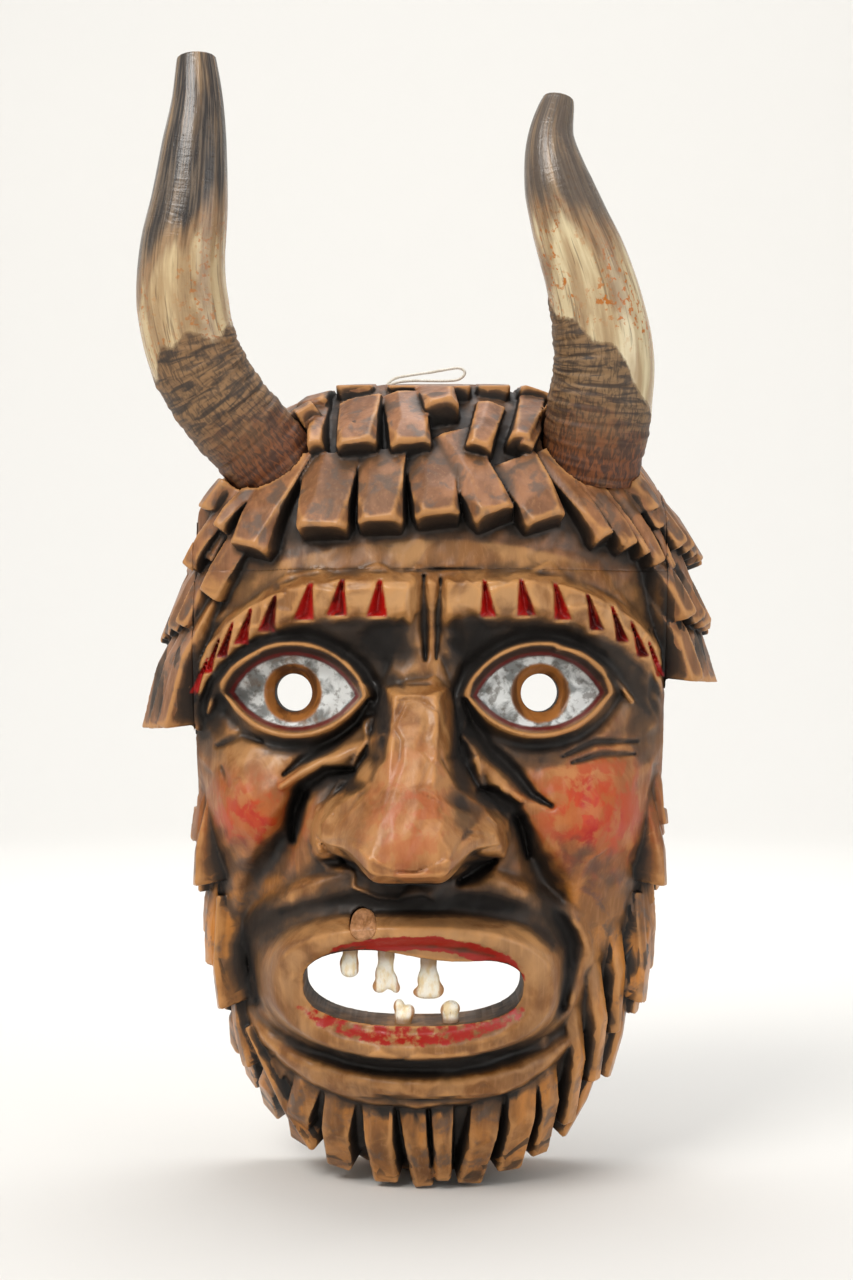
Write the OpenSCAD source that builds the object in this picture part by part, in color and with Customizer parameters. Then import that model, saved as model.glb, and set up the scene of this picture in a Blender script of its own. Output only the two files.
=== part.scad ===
// Horned devil mask: a hollow carved wooden head with real cattle horns and
// teeth, hung on a wall by a thin cord.
//
// The mask stands upright in millimetres: +X is the viewer's right, +Z is up
// and the face looks along -Y. The origin lies on the flat sawn back, midway
// between the top of the hair and the tip of the beard.

/* [Carved head] */
// Width of the main block between the two glued hair wings
block_w = 316; // [304:2:328]
// Thickness of the carved wall at the sawn back
wall = 22; // [18:1:26]
// Height of the glue line between the face block and the crown block
joint_z = 138; // [134:1:142]
// How far the tip of the nose stands in front of the back
nose_depth = 196; // [180:2:210]
// Proud height of the carved hair over the forehead
hair_rise = 14; // [8:1:18]
// Thickness of the wood between the front of the head and the hollow
front_wall = 30; // [26:1:36]

/* [Hair wings] */
// How far each wing stands out from its glued flank
wing_out = 45; // [34:1:46]
// Thickness of a wing from back to front
wing_t = 66; // [50:1:72]

/* [Eyes and mouth] */
// Radius of the pupil holes
pupil_r = 12.5; // [10:0.5:14]
// Distance between the pupils
pupil_gap = 162; // [156:1:168]
// Width of the open mouth
mouth_w = 140; // [130:2:144]
// Height of the open mouth
mouth_h = 51; // [46:1:53]

/* [Horns] */
// Radius of the left horn where it sits in the crown
horn_r_left = 29; // [27:0.5:31]
// Radius of the right horn where it sits in the crown
horn_r_right = 32; // [29:0.5:34]
// Wall of the horn at its open base
horn_wall = 6; // [4:0.5:8]
// Length of the wooden core inside each horn
core_len = 62; // [45:1:70]
// Radius of the tenon on each core
tenon_r = 10; // [8:0.5:12]

/* [Small parts] */
// Radius of the holes that the teeth are set in
tooth_root_r = 4; // [3:0.25:5]
// Radius of the round plug let into the upper lip
plug_r = 8; // [6:0.5:10]
// Diameter of the hanging cord
cord_d = 2; // [1.5:0.25:3]

/* [Hidden] */
$fn = 64;

chin_z = -268;      // lowest carved point
hair_top_z = 271;   // highest carved point
brow_x = -8;        // middle of the two brows
mouth_x = -11;
mouth_z = -126;
nose_x = -13;
nose_tip_z = -42;
eye_z = 58;
eye_x = -9;         // midway between the pupils
edge_t = 7;         // least depth of wood left at the sawn edge
wing_low_left = 33;  // flat-cut lower end of each hair wing
wing_low_right = 64;
saw_over = 6;       // extra wood behind the sawn back, cut away flat
hollow_low = -232;  // where the hollow ends above the chin
hollow_high = 225;  // where the hollow ends below the top of the hair
hollow_round = 60;  // height over which the hollow's ends round off

// ---------------------------------------------------------------- functions

// Soft step: 0 below a, 1 above b
function ramp(a, b, t) =
    let (s = max(0, min(1, (t - a) / (b - a)))) s * s * (3 - 2 * s);

// Soft round bump of height 1
function bump(dx, dz, rx, rz) = exp(-pow(dx / rx, 2) - pow(dz / rz, 2));

// Flat-topped ridge across a line, t away from it
function ridge(t, half) = exp(-pow(t / half, 4));

// Half width of the head at height z: a full curve for the jaw, the block's
// own flank beside the eyes, and an arch over the crown
jaw_w = block_w / 2 + 3;
jaw_z = 0;
jaw_power = 2.4;     // roundness of the jaw's curve seen from the front
arch_z = 170;
function half_w(z) =
    z < jaw_z
        ? jaw_w * pow(1 - pow((jaw_z - z) / (jaw_z - chin_z + 2), jaw_power), 1 / jaw_power)
        : z < arch_z
            ? jaw_w - 3 * ramp(jaw_z, wing_low_left, z)
            : block_w / 2 * sqrt(1 - pow((z - arch_z) / (hair_top_z + 1 - arch_z), 2));

// The left shoulder of the crown is cut back under its horn
shoulder_cut = 13;
function left_w(z) =
    half_w(z) - shoulder_cut * ramp(178, 200, z) * (1 - ramp(212, 245, z));

// Depth of the plain domed head on its centre line at height z
function dome_depth(z) = lookup(z, [
    [-268, 58], [-262, 74], [-245, 94], [-215, 110], [-160, 124], [-80, 124],
    [0, 116], [60, 112], [138, 112], [170, 108], [205, 96], [235, 78],
    [255, 58], [265, 42], [271, 30]]);

// The dome falls away to its sides; beside the eyes and hair it keeps a deep
// flank for the wings to be glued to
function flank_w(z) = half_w(z) + 16 * ramp(-20, 40, z) * (1 - ramp(180, 220, z));
function dome(x, z) =
    dome_depth(z) * sqrt(max(0, 1 - pow(min(1, abs(x) / flank_w(z)), 2.5)));

// Nose: a ridge that grows towards the tip, with a wing on each side
nose_rise = nose_depth - dome_depth(nose_tip_z);
function nose(x, z) =
    nose_rise * lookup(z - nose_tip_z, [[-28, 0], [-20, 0.5], [-10, 0.97], [0, 1],
                                        [34, 0.8], [77, 0.5], [114, 0.2], [142, 0]])
        * ridge(x - nose_x, lookup(z - nose_tip_z, [[-14, 34], [36, 29], [82, 21], [142, 17]]))
    + 0.42 * nose_rise * (bump(x - nose_x - 44, z - nose_tip_z - 12, 20, 20)
                          + bump(x - nose_x + 44, z - nose_tip_z - 12, 20, 20));

// Brows: an arched ledge over both eyes, cut through between them
function brow_z(x) = let (t = abs(x - brow_x))
    lookup(t, [[20, 121], [60, 123], [90, 117], [120, 103], [140, 84], [152, 60]]);
function brows(x, z) =
    19 * ridge(z - brow_z(x), 17) * ramp(6, 14, abs(x - brow_x))
       * ramp(0, 20, z - 36);

// Eyes: a socket with a raised ball in it
function eye(x, z, at) =
    14 * bump(x - at, z - eye_z, 38, 22) - 17 * bump(x - at, z - eye_z - 4, 56, 38);

// Cheeks, the folds beside the nose, and the fold under each eye
function cheeks(x, z) =
    17 * bump(x + 122, z + 17, 34, 36) + 19 * bump(x - 106, z + 26, 38, 38);
function fold(x, z) =
    let (r = norm([(x - mouth_x) / 118, (z - mouth_z) / 98]))
    -13 * exp(-pow((r - 1) / 0.1, 2)) * ramp(-138, -98, z) * (1 - ramp(-50, -10, z));

// Lips: a thick rolled ring round the open mouth, and the chin under it
lip_w = mouth_w / 2 + 12;
lip_h = mouth_h / 2 + 14;
function lips(x, z) =
    let (r = norm([(x - mouth_x) / lip_w, (z - mouth_z) / lip_h]))
    20 * exp(-pow((r - 1) / 0.32, 2)) - 8 * exp(-pow((r - 1.55) / 0.16, 2));
function chin(x, z) = 14 * bump(x - mouth_x - 14, z + 187, 52, 9);

// Hair and beard: overlapping locks, proud of the skin
lock_pitch = 25;
tier_h = 42;
function locks(along, across) =
    5 * abs(sin(180 * across / lock_pitch)) - 4 * (along / tier_h - floor(along / tier_h));
function fringe_z(x) = 160 - 0.0015 * x * x;
function hair(x, z) =
    ramp(fringe_z(x) - 5, fringe_z(x) + 2, z)
        * (1 - 0.6 * ramp(225, 268, z))
        * (hair_rise - 3 + locks(z - fringe_z(x), x * (1 - 0.0012 * (z - joint_z))));
function beard(x, z) =
    let (dx = x - mouth_x, dz = z - mouth_z,
         r = norm([dx / 128, dz / 84]), turn = atan2(dz, dx))
    ramp(0.98, 1.06, r) * (1 - ramp(-90, -20, z))
        * (6 + 5 * abs(sin(turn * 5.6)));

function face_depth(x, z) =
    max(edge_t, dome(x, z) + nose(x, z) + brows(x, z)
        + eye(x, z, eye_x - pupil_gap / 2) + eye(x, z, eye_x + pupil_gap / 2)
        + cheeks(x, z) + fold(x, z) + lips(x, z) + chin(x, z)
        + beard(x, z) + hair(x, z));
function crown_depth(x, z) = max(edge_t, dome(x, z) + brows(x, z) + hair(x, z));

// The hollow follows the dome inside the walls; u runs from -1 to 1 across it
function hollow_depth(u, z) =
    (1 + (dome_depth(z) - front_wall + saw_over)
        * ramp(hollow_low, hollow_low + hollow_round, z)
        * (1 - ramp(hollow_high - hollow_round, hollow_high, z)))
        * sqrt(1 - pow(abs(u), 2.5));

// One level cross-section through the wall, as a ring of points
across = 52;   // steps across the front
inside = 10;   // steps across the hollow
function spread(n) = [for (i = [n:-1:0]) -cos(180 * i / n) * 0.45 + (2 * i / n - 1) * 0.55];
function section(z, crown) =
    let (w = half_w(z), wi = max(w - wall, w * 0.35))
    concat(
        [[w, saw_over, z]],
        [for (u = spread(across)) let (x = u * (u < 0 ? left_w(z) : w))
            [x, -(crown ? crown_depth(x, z) : face_depth(x, z)), z]],
        [[-left_w(z), saw_over, z]],
        [for (i = [0:inside]) let (u = 2 * i / inside - 1)
            [u * wi, saw_over - hollow_depth(u, z), z]]);

// A closed solid through a stack of rings, all with the same number of points;
// cap lists the triangles that close the last ring
module loft(rings, cap) {
    n = len(rings[0]);
    last = len(rings) - 1;
    points = [for (ring = rings) each ring];
    sides = [for (k = [0:last - 1], i = [0:n - 1])
        let (a = k * n + i, b = k * n + (i + 1) % n)
        each [[a, b, a + n], [b, b + n, a + n]]];
    polyhedron(points, concat([for (t = cap) [t[2], t[1], t[0]]], sides,
                              [for (t = cap) [for (i = t) last * n + i]]));
}

// Triangles across a round ring of n points
function fan(n) = [for (i = [1:n - 2]) [0, i, i + 1]];

// Triangles across a wall's section, whose outer run of points comes first
// and whose inner run comes back beside it
function stitch(n, outer) =
    let (inner = n - outer)
    [for (j = [0:outer - 2])
        let (beside = n - 1 - round(j * (inner - 1) / (outer - 1)),
             next = n - 1 - round((j + 1) * (inner - 1) / (outer - 1)))
        each concat([[j, j + 1, next]], next < beside ? [[j, next, beside]] : [])];

module wall_loft(rings) {
    loft(rings, stitch(len(rings[0]), across + 3));
}

// Point at fraction t along a smooth curve through a list of points
function spline(p, t) =
    let (last = len(p) - 1, s = max(0, min(t * last, last - 0.0001)), k = floor(s), u = s - k,
         a = p[max(k - 1, 0)], b = p[k], c = p[k + 1], d = p[min(k + 2, last)])
    0.5 * (2 * b + (c - a) * u + (2 * a - 5 * b + 4 * c - d) * u * u
           + (3 * b - 3 * c + d - a) * u * u * u);

function unit(v) = v / norm(v);

// A ring of points round p, square to the direction dir
function ring(p, dir, r, sides) =
    let (d = unit(dir), u = unit(cross(d, [0, 1, 0.02])), v = cross(d, u))
    [for (i = [0:sides - 1]) p + r * (cos(-360 * i / sides) * u + sin(-360 * i / sides) * v)];

// Turn +Z to the direction v and move to p
module aim(p, v) {
    translate(p)
        rotate([0, acos(v[2] / norm(v)), atan2(v[1], v[0])])
            children();
}

module behind_back() {
    translate([-300, 0, -400]) cube([600, 100, 900]);
}

// ---------------------------------------------------------------- placement

// Each horn: base centre at the floor of its socket, and its centre line
horn_path_left = [[-101, -60, 206], [-119, -69, 227], [-138, -77, 249], [-155, -85, 279],
                  [-162, -91, 312], [-162, -96, 343], [-157, -98, 378], [-154, -98, 412],
                  [-152, -96, 443], [-153, -93, 472]];
horn_path_right = [[106, -60, 206], [110, -69, 228], [113, -76, 250], [115, -83, 276],
                   [111, -89, 304], [103, -94, 334], [91, -97, 366], [82, -98, 395],
                   [79, -95, 421], [84, -90, 446]];
// Radius along each horn, as a share of its base radius
horn_taper_left = [[0, 1], [0.3, 1.02], [0.45, 1.02], [0.6, 0.92], [0.8, 0.7], [1, 0.45]];
horn_taper_right = [[0, 1], [0.2, 1.05], [0.4, 0.97], [0.6, 0.84], [0.75, 0.68],
                    [0.9, 0.45], [1, 0.32]];
tenon_len = 24;
cone_tip_r = 10;    // radius of the core's upper end
screw_r = 2.5;
socket_flare = 12;  // how much wider a socket is at its mouth
screw_len = 40;
washer_r = 15;
washer_t = 2;

// Teeth: root position in the lip, size and whether they hang down
upper_teeth = [[-54, -105, 7, 17, 3], [-28, -107, 9, 25, 0], [-1, -112, 10, 24, 0]];
lower_teeth = [[-17, -150, 7, 13, 0], [13, -150, 7, 13, 0]];
tooth_y = -128;

plug_at = [-42, -87];

// Pegs across the glue lines
peg_r = 6;
crown_peg_len = 44;
crown_peg_at = [[-125, -62], [-48, -95], [48, -95], [125, -62]];
wing_peg_len = 24;
wing_peg_z = [84, 126];
wing_peg_y = -24;

// The cord lies in a groove down the back of the crown, from a screw eye in
// the roof of the hollow to a notch in the top edge, and makes a loop above it
groove_x = -35.5;
groove_w = 9;
groove_depth = 8;
groove_low = 190;    // the groove runs down into the hollow
screw_eye_at = [groove_x, -15, 195];
screw_eye_r = 5;
screw_eye_wire_r = 1.2;
cord_route = [[-31, -14, 197], [-33, -15, 193], [-36, -15, 192], [-39, -15, 195],
              [-38, -10, 203], [-37, -4, 214], [-37, -4, 235], [-36, -4, 254],
              [-33, -4, 266], [-26, -4, 272], [-14, -4, 274], [0, -4, 274], [12, -4, 274],
              [20, -4, 275], [24, -4, 278], [24, -4, 281], [20, -4, 283], [12, -4, 282],
              [0, -3, 280], [-14, -3, 278], [-26, -3, 275], [-32, -3, 267],
              [-34, -3, 254], [-34, -4, 235], [-34, -4, 214], [-33, -9, 203],
              [-31, -13, 200]];

// ---------------------------------------------------------------- carved wood

face_rows = 48;
module face_block() {
    color("peru") difference() {
        wall_loft([for (k = [0:face_rows]) section(chin_z + (joint_z - chin_z)
            * (1 - pow(1 - k / face_rows, 1.25)), false)]);
        behind_back();
        for (side = [-1, 1])
            translate([eye_x + side * pupil_gap / 2, 0, eye_z])
                rotate([90, 0, 0]) cylinder(r = pupil_r, h = 250);
        mouth_opening();
        for (t = upper_teeth)
            translate([t[0], tooth_y, t[1] - 4]) cylinder(r = tooth_root_r, h = 18);
        for (t = lower_teeth)
            translate([t[0], tooth_y, t[1] - 14]) cylinder(r = tooth_root_r, h = 18);
        translate([plug_at[0], -120, plug_at[1]])
            rotate([90, 0, 0]) cylinder(r = plug_r, h = 100);
        crown_pegs();
        wing_pegs();
    }
}

// The mouth: a wide oval whose upper edge sags between the teeth
mouth_steps = 24;
function oval(u) = pow(1 - pow(abs(u), 2.6), 1 / 2.6);
function mouth_sag(x) = -9 * exp(-pow((x - 25) / 40, 2));
module mouth_opening() {
    half = mouth_w / 2;
    edge = [for (i = [1:mouth_steps - 1]) -cos(180 * i / mouth_steps)];
    translate([mouth_x, 0, mouth_z]) rotate([90, 0, 0]) linear_extrude(260)
        polygon(concat(
            [[-half, 0]],
            [for (u = edge) [half * u, oval(u) * (mouth_h / 2 + mouth_sag(half * u))]],
            [[half, 0]],
            [for (u = edge) [-half * u, -oval(u) * mouth_h / 2]]));
}

crown_rows = 28;
module crown_block() {
    color("sienna") difference() {
        wall_loft([for (k = [0:crown_rows]) section(joint_z + (hair_top_z - joint_z)
            * sin(90 * k / crown_rows), true)]);
        behind_back();
        horn_socket(horn_path_left, horn_r_left);
        horn_socket(horn_path_right, horn_r_right);
        translate([groove_x - groove_w / 2, -groove_depth, groove_low])
            cube([groove_w, 2 * groove_depth, 100]);
        crown_pegs();
        wing_pegs();
        translate(screw_eye_at) cylinder(r = screw_eye_wire_r, h = screw_eye_r + 24);
    }
}

// Round seat for a horn, the tenon's hole below it and a flat for its washer
module horn_socket(path, base_r) {
    socket_r = base_r + 1;
    aim(path[0], path[1] - path[0]) {
        cylinder(r1 = socket_r, r2 = socket_r + socket_flare, h = 80);
        translate([0, 0, -60]) cylinder(r = tenon_r, h = 61);
        translate([0, 0, -tenon_len - 90]) cylinder(r = washer_r + 2, h = 90);
    }
}

// Hair wing: a solid block of stepped locks outside one flank of the head
wing_rows = 24;
module hair_wing(side, low, high) {
    function out(z) = let (t = (z - low) / (high - low))
        max(3, wing_out * pow(1 - pow(t, 1.9), 0.62)
            * (0.86 + 0.1 * abs(sin(180 * t * 3.5))));
    flank = side * block_w / 2;
    // the flank, then round the outside; the order of the points turns with the side
    turn = side < 0 ? [80:-10:0] : [0:10:80];
    rings = [for (k = [0:wing_rows])
        let (z = low + (high - low) * k / wing_rows, w = out(z),
             t = wing_t * (1 - 0.25 * k / wing_rows),
             back = [flank, saw_over, z], front = [flank, -t, z],
             tip = [flank + side * w * 0.97, saw_over, z],
             outside = [for (a = turn) let (lump = 1 - 0.1 * abs(sin(a * 5)))
                 [flank + side * w * cos(a) * lump, -0.8 * t * sin(a) * lump - 4, z]])
        side < 0 ? concat([back, front], outside, [tip])
                 : concat([back, tip], outside, [front])];
    difference() {
        loft(rings, fan(len(rings[0])));
        behind_back();
        wing_pegs();
    }
}

module hair_wing_left() {
    color("sienna") hair_wing(-1, wing_low_left, 176);
}

module hair_wing_right() {
    color("sienna") hair_wing(1, wing_low_right, 190);
}

module crown_pegs() {
    for (at = crown_peg_at)
        translate([at[0], at[1], joint_z - crown_peg_len / 2])
            cylinder(r = peg_r, h = crown_peg_len);
}

module wing_pegs() {
    for (side = [-1, 1], z = wing_peg_z)
        translate([side * (block_w - wing_peg_len) / 2, wing_peg_y, z])
            rotate([0, side * 90, 0]) cylinder(r = peg_r, h = wing_peg_len);
}

module crown_dowels() {
    color("burlywood") crown_pegs();
}

module wing_dowels() {
    color("burlywood") wing_pegs();
}

// ---------------------------------------------------------------- horns

horn_rings = 26;
horn_sides = 24;
module horn(path, base_r, taper) {
    function ripple(k) = k < 10 ? 0.6 * (k % 2) : 0;
    difference() {
        loft([for (k = [0:horn_rings]) let (t = k / horn_rings)
            ring(spline(path, t),
                 k == 0 ? path[1] - path[0] : spline(path, t + 0.01) - spline(path, t - 0.01),
                 base_r * lookup(t, taper) + ripple(k), horn_sides)], fan(horn_sides));
        aim(path[0], path[1] - path[0]) {
            translate([0, 0, -5]) cylinder(r = base_r + 20, h = 5);
            horn_hollow(base_r);
        }
    }
}

// The cone inside a horn's base, which its core fills
module horn_hollow(base_r) {
    cylinder(r1 = base_r - horn_wall, r2 = cone_tip_r, h = core_len);
}

module horn_left() {
    color("tan") horn(horn_path_left, horn_r_left, horn_taper_left);
}

module horn_right() {
    color("wheat") horn(horn_path_right, horn_r_right, horn_taper_right);
}

module horn_core(path, base_r) {
    aim(path[0], path[1] - path[0]) difference() {
        union() {
            horn_hollow(base_r);
            translate([0, 0, -tenon_len]) cylinder(r = tenon_r, h = tenon_len + 1);
        }
        translate([0, 0, -tenon_len - 1]) cylinder(r = screw_r, h = screw_len + 1);
    }
}

module horn_core_left() {
    color("burlywood") horn_core(horn_path_left, horn_r_left);
}

module horn_core_right() {
    color("burlywood") horn_core(horn_path_right, horn_r_right);
}

module horn_screws() {
    color("dimgray")
        for (path = [horn_path_left, horn_path_right])
            aim(path[0], path[1] - path[0])
                translate([0, 0, -tenon_len - washer_t]) {
                    cylinder(r = screw_r, h = screw_len + washer_t);
                    translate([0, 0, -4]) cylinder(r = 6, h = 4, $fn = 6);
                }
}

module horn_washers() {
    color("silver")
        for (path = [horn_path_left, horn_path_right])
            aim(path[0], path[1] - path[0])
                translate([0, 0, -tenon_len - washer_t]) difference() {
                    cylinder(r = washer_r, h = washer_t);
                    translate([0, 0, -1]) cylinder(r = screw_r, h = washer_t + 2);
                }
}

// ---------------------------------------------------------------- small parts

// A tooth: a root in the lip and a crown that widens to its worn end
module tooth(t, down) {
    crown_w = t[2];
    crown_h = t[3];
    translate([t[0], tooth_y, t[1]]) mirror([0, 0, down ? 1 : 0]) {
        translate([0, 0, -14]) cylinder(r = tooth_root_r, h = 15);
        loft([for (k = [0:6]) let (s = k / 6, w = lookup(s, [[0, 0.62], [0.5, 0.72],
                [0.85, 1], [1, 0.8]]) * crown_w, d = lookup(s, [[0, 4], [0.7, 4.5], [1, 3]]))
            [for (i = [0:15]) let (a = 360 * i / 16)
                [w * cos(a) + t[4] * s, -d * sin(a), crown_h * s]]], fan(16));
    }
}

module tooth_upper_left() {
    color("ivory") tooth(upper_teeth[0], true);
}

module tooth_upper_middle() {
    color("ivory") tooth(upper_teeth[1], true);
}

module tooth_upper_right() {
    color("ivory") tooth(upper_teeth[2], true);
}

module tooth_lower_left() {
    color("ivory") tooth(lower_teeth[0], false);
}

module tooth_lower_right() {
    color("ivory") tooth(lower_teeth[1], false);
}

module lip_plug() {
    front = face_depth(plug_at[0], plug_at[1]) + 1;
    color("chocolate") translate([plug_at[0], -120, plug_at[1]])
        rotate([90, 0, 0]) cylinder(r = plug_r, h = front - 120);
}

module hanger_screw_eye() {
    color("silver") translate(screw_eye_at) {
        rotate([0, 90, 0]) rotate_extrude($fn = 32)
            translate([screw_eye_r, 0]) circle(screw_eye_wire_r, $fn = 16);
        translate([0, 0, screw_eye_r]) cylinder(r = screw_eye_wire_r, h = 24);
    }
}

cord_steps = 78;
cord_sides = 8;
module hanging_cord() {
    color("white")
        loft([for (k = [0:cord_steps]) let (t = k / cord_steps)
            ring(spline(cord_route, t), spline(cord_route, t + 0.01)
                 - spline(cord_route, t - 0.01), cord_d / 2, cord_sides)], fan(cord_sides));
}

face_block();
crown_block();
hair_wing_left();
hair_wing_right();
crown_dowels();
wing_dowels();
horn_left();
horn_right();
horn_core_left();
horn_core_right();
horn_screws();
horn_washers();
tooth_upper_left();
tooth_upper_middle();
tooth_upper_right();
tooth_lower_left();
tooth_lower_right();
lip_plug();
hanger_screw_eye();
hanging_cord();
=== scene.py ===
"""Looks of a carved horned mask: a hollow wooden head with cattle horns and teeth.

The wooden blocks are carved here as a field of signed distances on a voxel grid: a
plain dome, the features of the face, and every lock of hair and beard as a faceted
bar. The field is cut into the same blocks as the frame's nodes and meshed. Lengths in
the carving are millimetres in the frame's own axes; finished pieces are in metres.
"""

import math

import bpy
import numpy as np
import openvdb
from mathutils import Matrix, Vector


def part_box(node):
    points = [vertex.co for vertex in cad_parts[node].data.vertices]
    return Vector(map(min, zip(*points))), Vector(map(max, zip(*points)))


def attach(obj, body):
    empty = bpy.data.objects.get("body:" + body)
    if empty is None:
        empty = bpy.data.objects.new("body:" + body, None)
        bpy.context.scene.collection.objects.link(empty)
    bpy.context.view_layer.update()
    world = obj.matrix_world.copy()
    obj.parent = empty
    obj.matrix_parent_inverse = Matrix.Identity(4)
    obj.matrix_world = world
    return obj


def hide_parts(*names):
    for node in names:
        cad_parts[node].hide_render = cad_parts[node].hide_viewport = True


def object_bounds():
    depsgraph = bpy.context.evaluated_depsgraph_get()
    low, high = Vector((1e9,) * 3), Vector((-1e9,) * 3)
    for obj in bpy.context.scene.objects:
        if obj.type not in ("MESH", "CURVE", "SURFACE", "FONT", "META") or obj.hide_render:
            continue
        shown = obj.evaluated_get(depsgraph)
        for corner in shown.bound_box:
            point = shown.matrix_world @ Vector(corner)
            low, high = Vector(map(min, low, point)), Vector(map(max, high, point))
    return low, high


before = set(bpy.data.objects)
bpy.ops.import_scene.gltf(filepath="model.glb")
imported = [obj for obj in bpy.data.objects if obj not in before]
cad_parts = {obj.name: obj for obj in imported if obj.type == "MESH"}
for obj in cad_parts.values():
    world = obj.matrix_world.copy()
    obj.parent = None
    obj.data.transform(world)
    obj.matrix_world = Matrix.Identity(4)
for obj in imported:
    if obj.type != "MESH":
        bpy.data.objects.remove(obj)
cad_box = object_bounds()

MM = 0.001
BODY = "root"
VOXEL = 1.35
TRIANGLE_LIMIT = 190000

# Sizes shared with the frame, in millimetres
face_low, face_high = [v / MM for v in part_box("face_block")]
crown_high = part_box("crown_block")[1] / MM
CHIN_Z = face_low.z
JOINT_Z = face_high.z
TOP_Z = crown_high.z
BLOCK_HALF = crown_high.x
JAW_HALF = BLOCK_HALF + 3
JAW_POWER = 2.4
WING_LOW_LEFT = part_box("hair_wing_left")[0].z / MM
WING_LOW_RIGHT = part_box("hair_wing_right")[0].z / MM

# Places of the features, in millimetres
NOSE_X, NOSE_TIP_Z, NOSE_RISE = -13, -42, 75
BROW_X = -1
EYES = [(-90, 58, 1), (72, 58, -1)]    # x, z and the side of the outer corner, reversed
PUPIL_R = 12.5
MOUTH_X, MOUTH_Z, MOUTH_HALF, MOUTH_HIGH = -11, -126, 70, 25.5
LIP_X, LIP_Z = 80, 37
FRONT_WALL, SIDE_WALL = 30, 22
ARCH_Z = 170                      # where the sides begin to close over the crown
HOLLOW_LOW, HOLLOW_HIGH, HOLLOW_ROUND = -232, 225, 60
PLUG_AT, PLUG_R, PLUG_BACK = (-42, -87), 8, -118
TENON_R, COUNTERBORE_R = 10, 17    # holes behind each horn
CORD_GROOVE_X, CORD_GROOVE_DEEP, CORD_GROOVE_LOW = (-40, -31), 8, 190


# ------------------------------------------------------------------ small maths

def ramp(a, b, t):
    """Soft step: 0 below a, 1 above b (or the other way round when b < a)."""
    s = np.clip((t - a) / (b - a), 0, 1)
    return s * s * (3 - 2 * s)


def bump(dx, dz, rx, rz):
    return np.exp(-(dx / rx) ** 2 - (dz / rz) ** 2)


def table(pairs):
    """A function that runs straight between the (place, value) pairs."""
    places, values = zip(*pairs)
    return lambda t: np.interp(t, places, values)


def unit(v):
    v = np.asarray(v, float)
    return v / np.linalg.norm(v)


def rounded_noise(x, z, scale, seed):
    """Smooth, repeatable noise from a few turned sine waves, about -1 to 1."""
    rng = np.random.default_rng(seed)
    total = 0
    for _ in range(6):
        turn, phase, stretch = rng.uniform(0, 2 * math.pi, 3)
        k = 2 * math.pi / scale * (0.6 + 0.15 * stretch)
        total = total + np.sin(k * (x * math.cos(turn) + z * math.sin(turn)) + phase)
    return total / 3


# ------------------------------------------------------------------ plain head

dome_depth = table([(-268, 58), (-262, 74), (-245, 94), (-215, 110), (-160, 124),
                    (-80, 124), (0, 116), (60, 112), (138, 112), (170, 108),
                    (205, 96), (235, 78), (255, 58), (265, 42), (271, 30)])


def half_width(z):
    """Half width of the head at height z: jaw, flank and the arch of the crown."""
    jaw = 1 - np.clip(-z / (2 - CHIN_Z), 0, 1) ** JAW_POWER
    arch = 1 - np.clip((z - ARCH_Z) / (TOP_Z + 1 - ARCH_Z), 0, 1) ** 2
    flank = JAW_HALF - 3 * ramp(0, 33, z)
    return np.where(z < 0, JAW_HALF * jaw ** (1 / JAW_POWER),
                    np.where(z < ARCH_Z, flank, BLOCK_HALF * np.sqrt(arch)))


def flank_width(z):
    return half_width(z) + 16 * ramp(-20, 40, z) * (1 - ramp(180, 220, z))


def dome(x, z):
    across = np.clip(np.abs(x) / np.maximum(flank_width(z), 1), 0, 1)
    return dome_depth(z) * np.sqrt(np.maximum(0, 1 - across ** 2.5))


def on_dome(x, z):
    return np.array([x, -float(dome(x, z)), z])


def dome_normal(x, z, reach=4):
    gx = (dome(x + reach, z) - dome(x - reach, z)) / (2 * reach)
    gz = (dome(x, z + reach) - dome(x, z - reach)) / (2 * reach)
    return unit([-float(gx), -1, -float(gz)])


def hollow_depth(x, z):
    """Depth of the hollow in front of the sawn back."""
    inner = np.maximum(half_width(z) - SIDE_WALL, 0.35 * half_width(z))
    across = np.clip(np.abs(x) / np.maximum(inner, 1), 0, 1)
    ends = (ramp(HOLLOW_LOW, HOLLOW_LOW + HOLLOW_ROUND, z)
            * ramp(HOLLOW_HIGH, HOLLOW_HIGH - HOLLOW_ROUND, z))
    depth = 1 + (dome_depth(z) - FRONT_WALL + 6) * ends
    return depth * np.sqrt(np.maximum(0, 1 - across ** 2.5)) - 6


# ------------------------------------------------------------------ the face

brow_height = table([(14, 121), (60, 122), (85, 119), (105, 112), (120, 105), (136, 94),
                     (150, 79), (160, 60)])
nose_rise = table([(-20, 0), (-15, 0.6), (-8, 0.95), (0, 1), (34, 0.84), (77, 0.58),
                   (100, 0.44), (106, 0.16), (130, 0.02), (150, 0)])
nose_top_half = table([(-20, 20), (-10, 24), (0, 24), (20, 18), (50, 14), (100, 13)])
nose_base_half = table([(-22, 22), (-14, 50), (-7, 62), (4, 66), (18, 64), (30, 55), (42, 42),
                        (60, 31), (105, 23)])


def nose(x, z):
    """A flat-topped ridge whose sides slope out to the wings and end steeply."""
    dz = z - NOSE_TIP_Z
    dx = np.abs(x - NOSE_X - 4 * ramp(20, 100, dz))
    lifted = dz - 15 * ramp(18, 44, dx) * ramp(40, 0, dz)
    top = NOSE_RISE * nose_rise(lifted)
    side = top - 1.22 * np.maximum(0, dx - nose_top_half(dz))
    wing = 31 * ramp(44, 24, dz) * ramp(-24, -12, lifted) * np.sqrt(
        np.clip(1 - ((dx - 46) / 21) ** 2, 0, 1))
    side = np.maximum(side, wing)
    return np.maximum(0, np.minimum(side, 3.2 * (nose_base_half(dz) - dx)))


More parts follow.
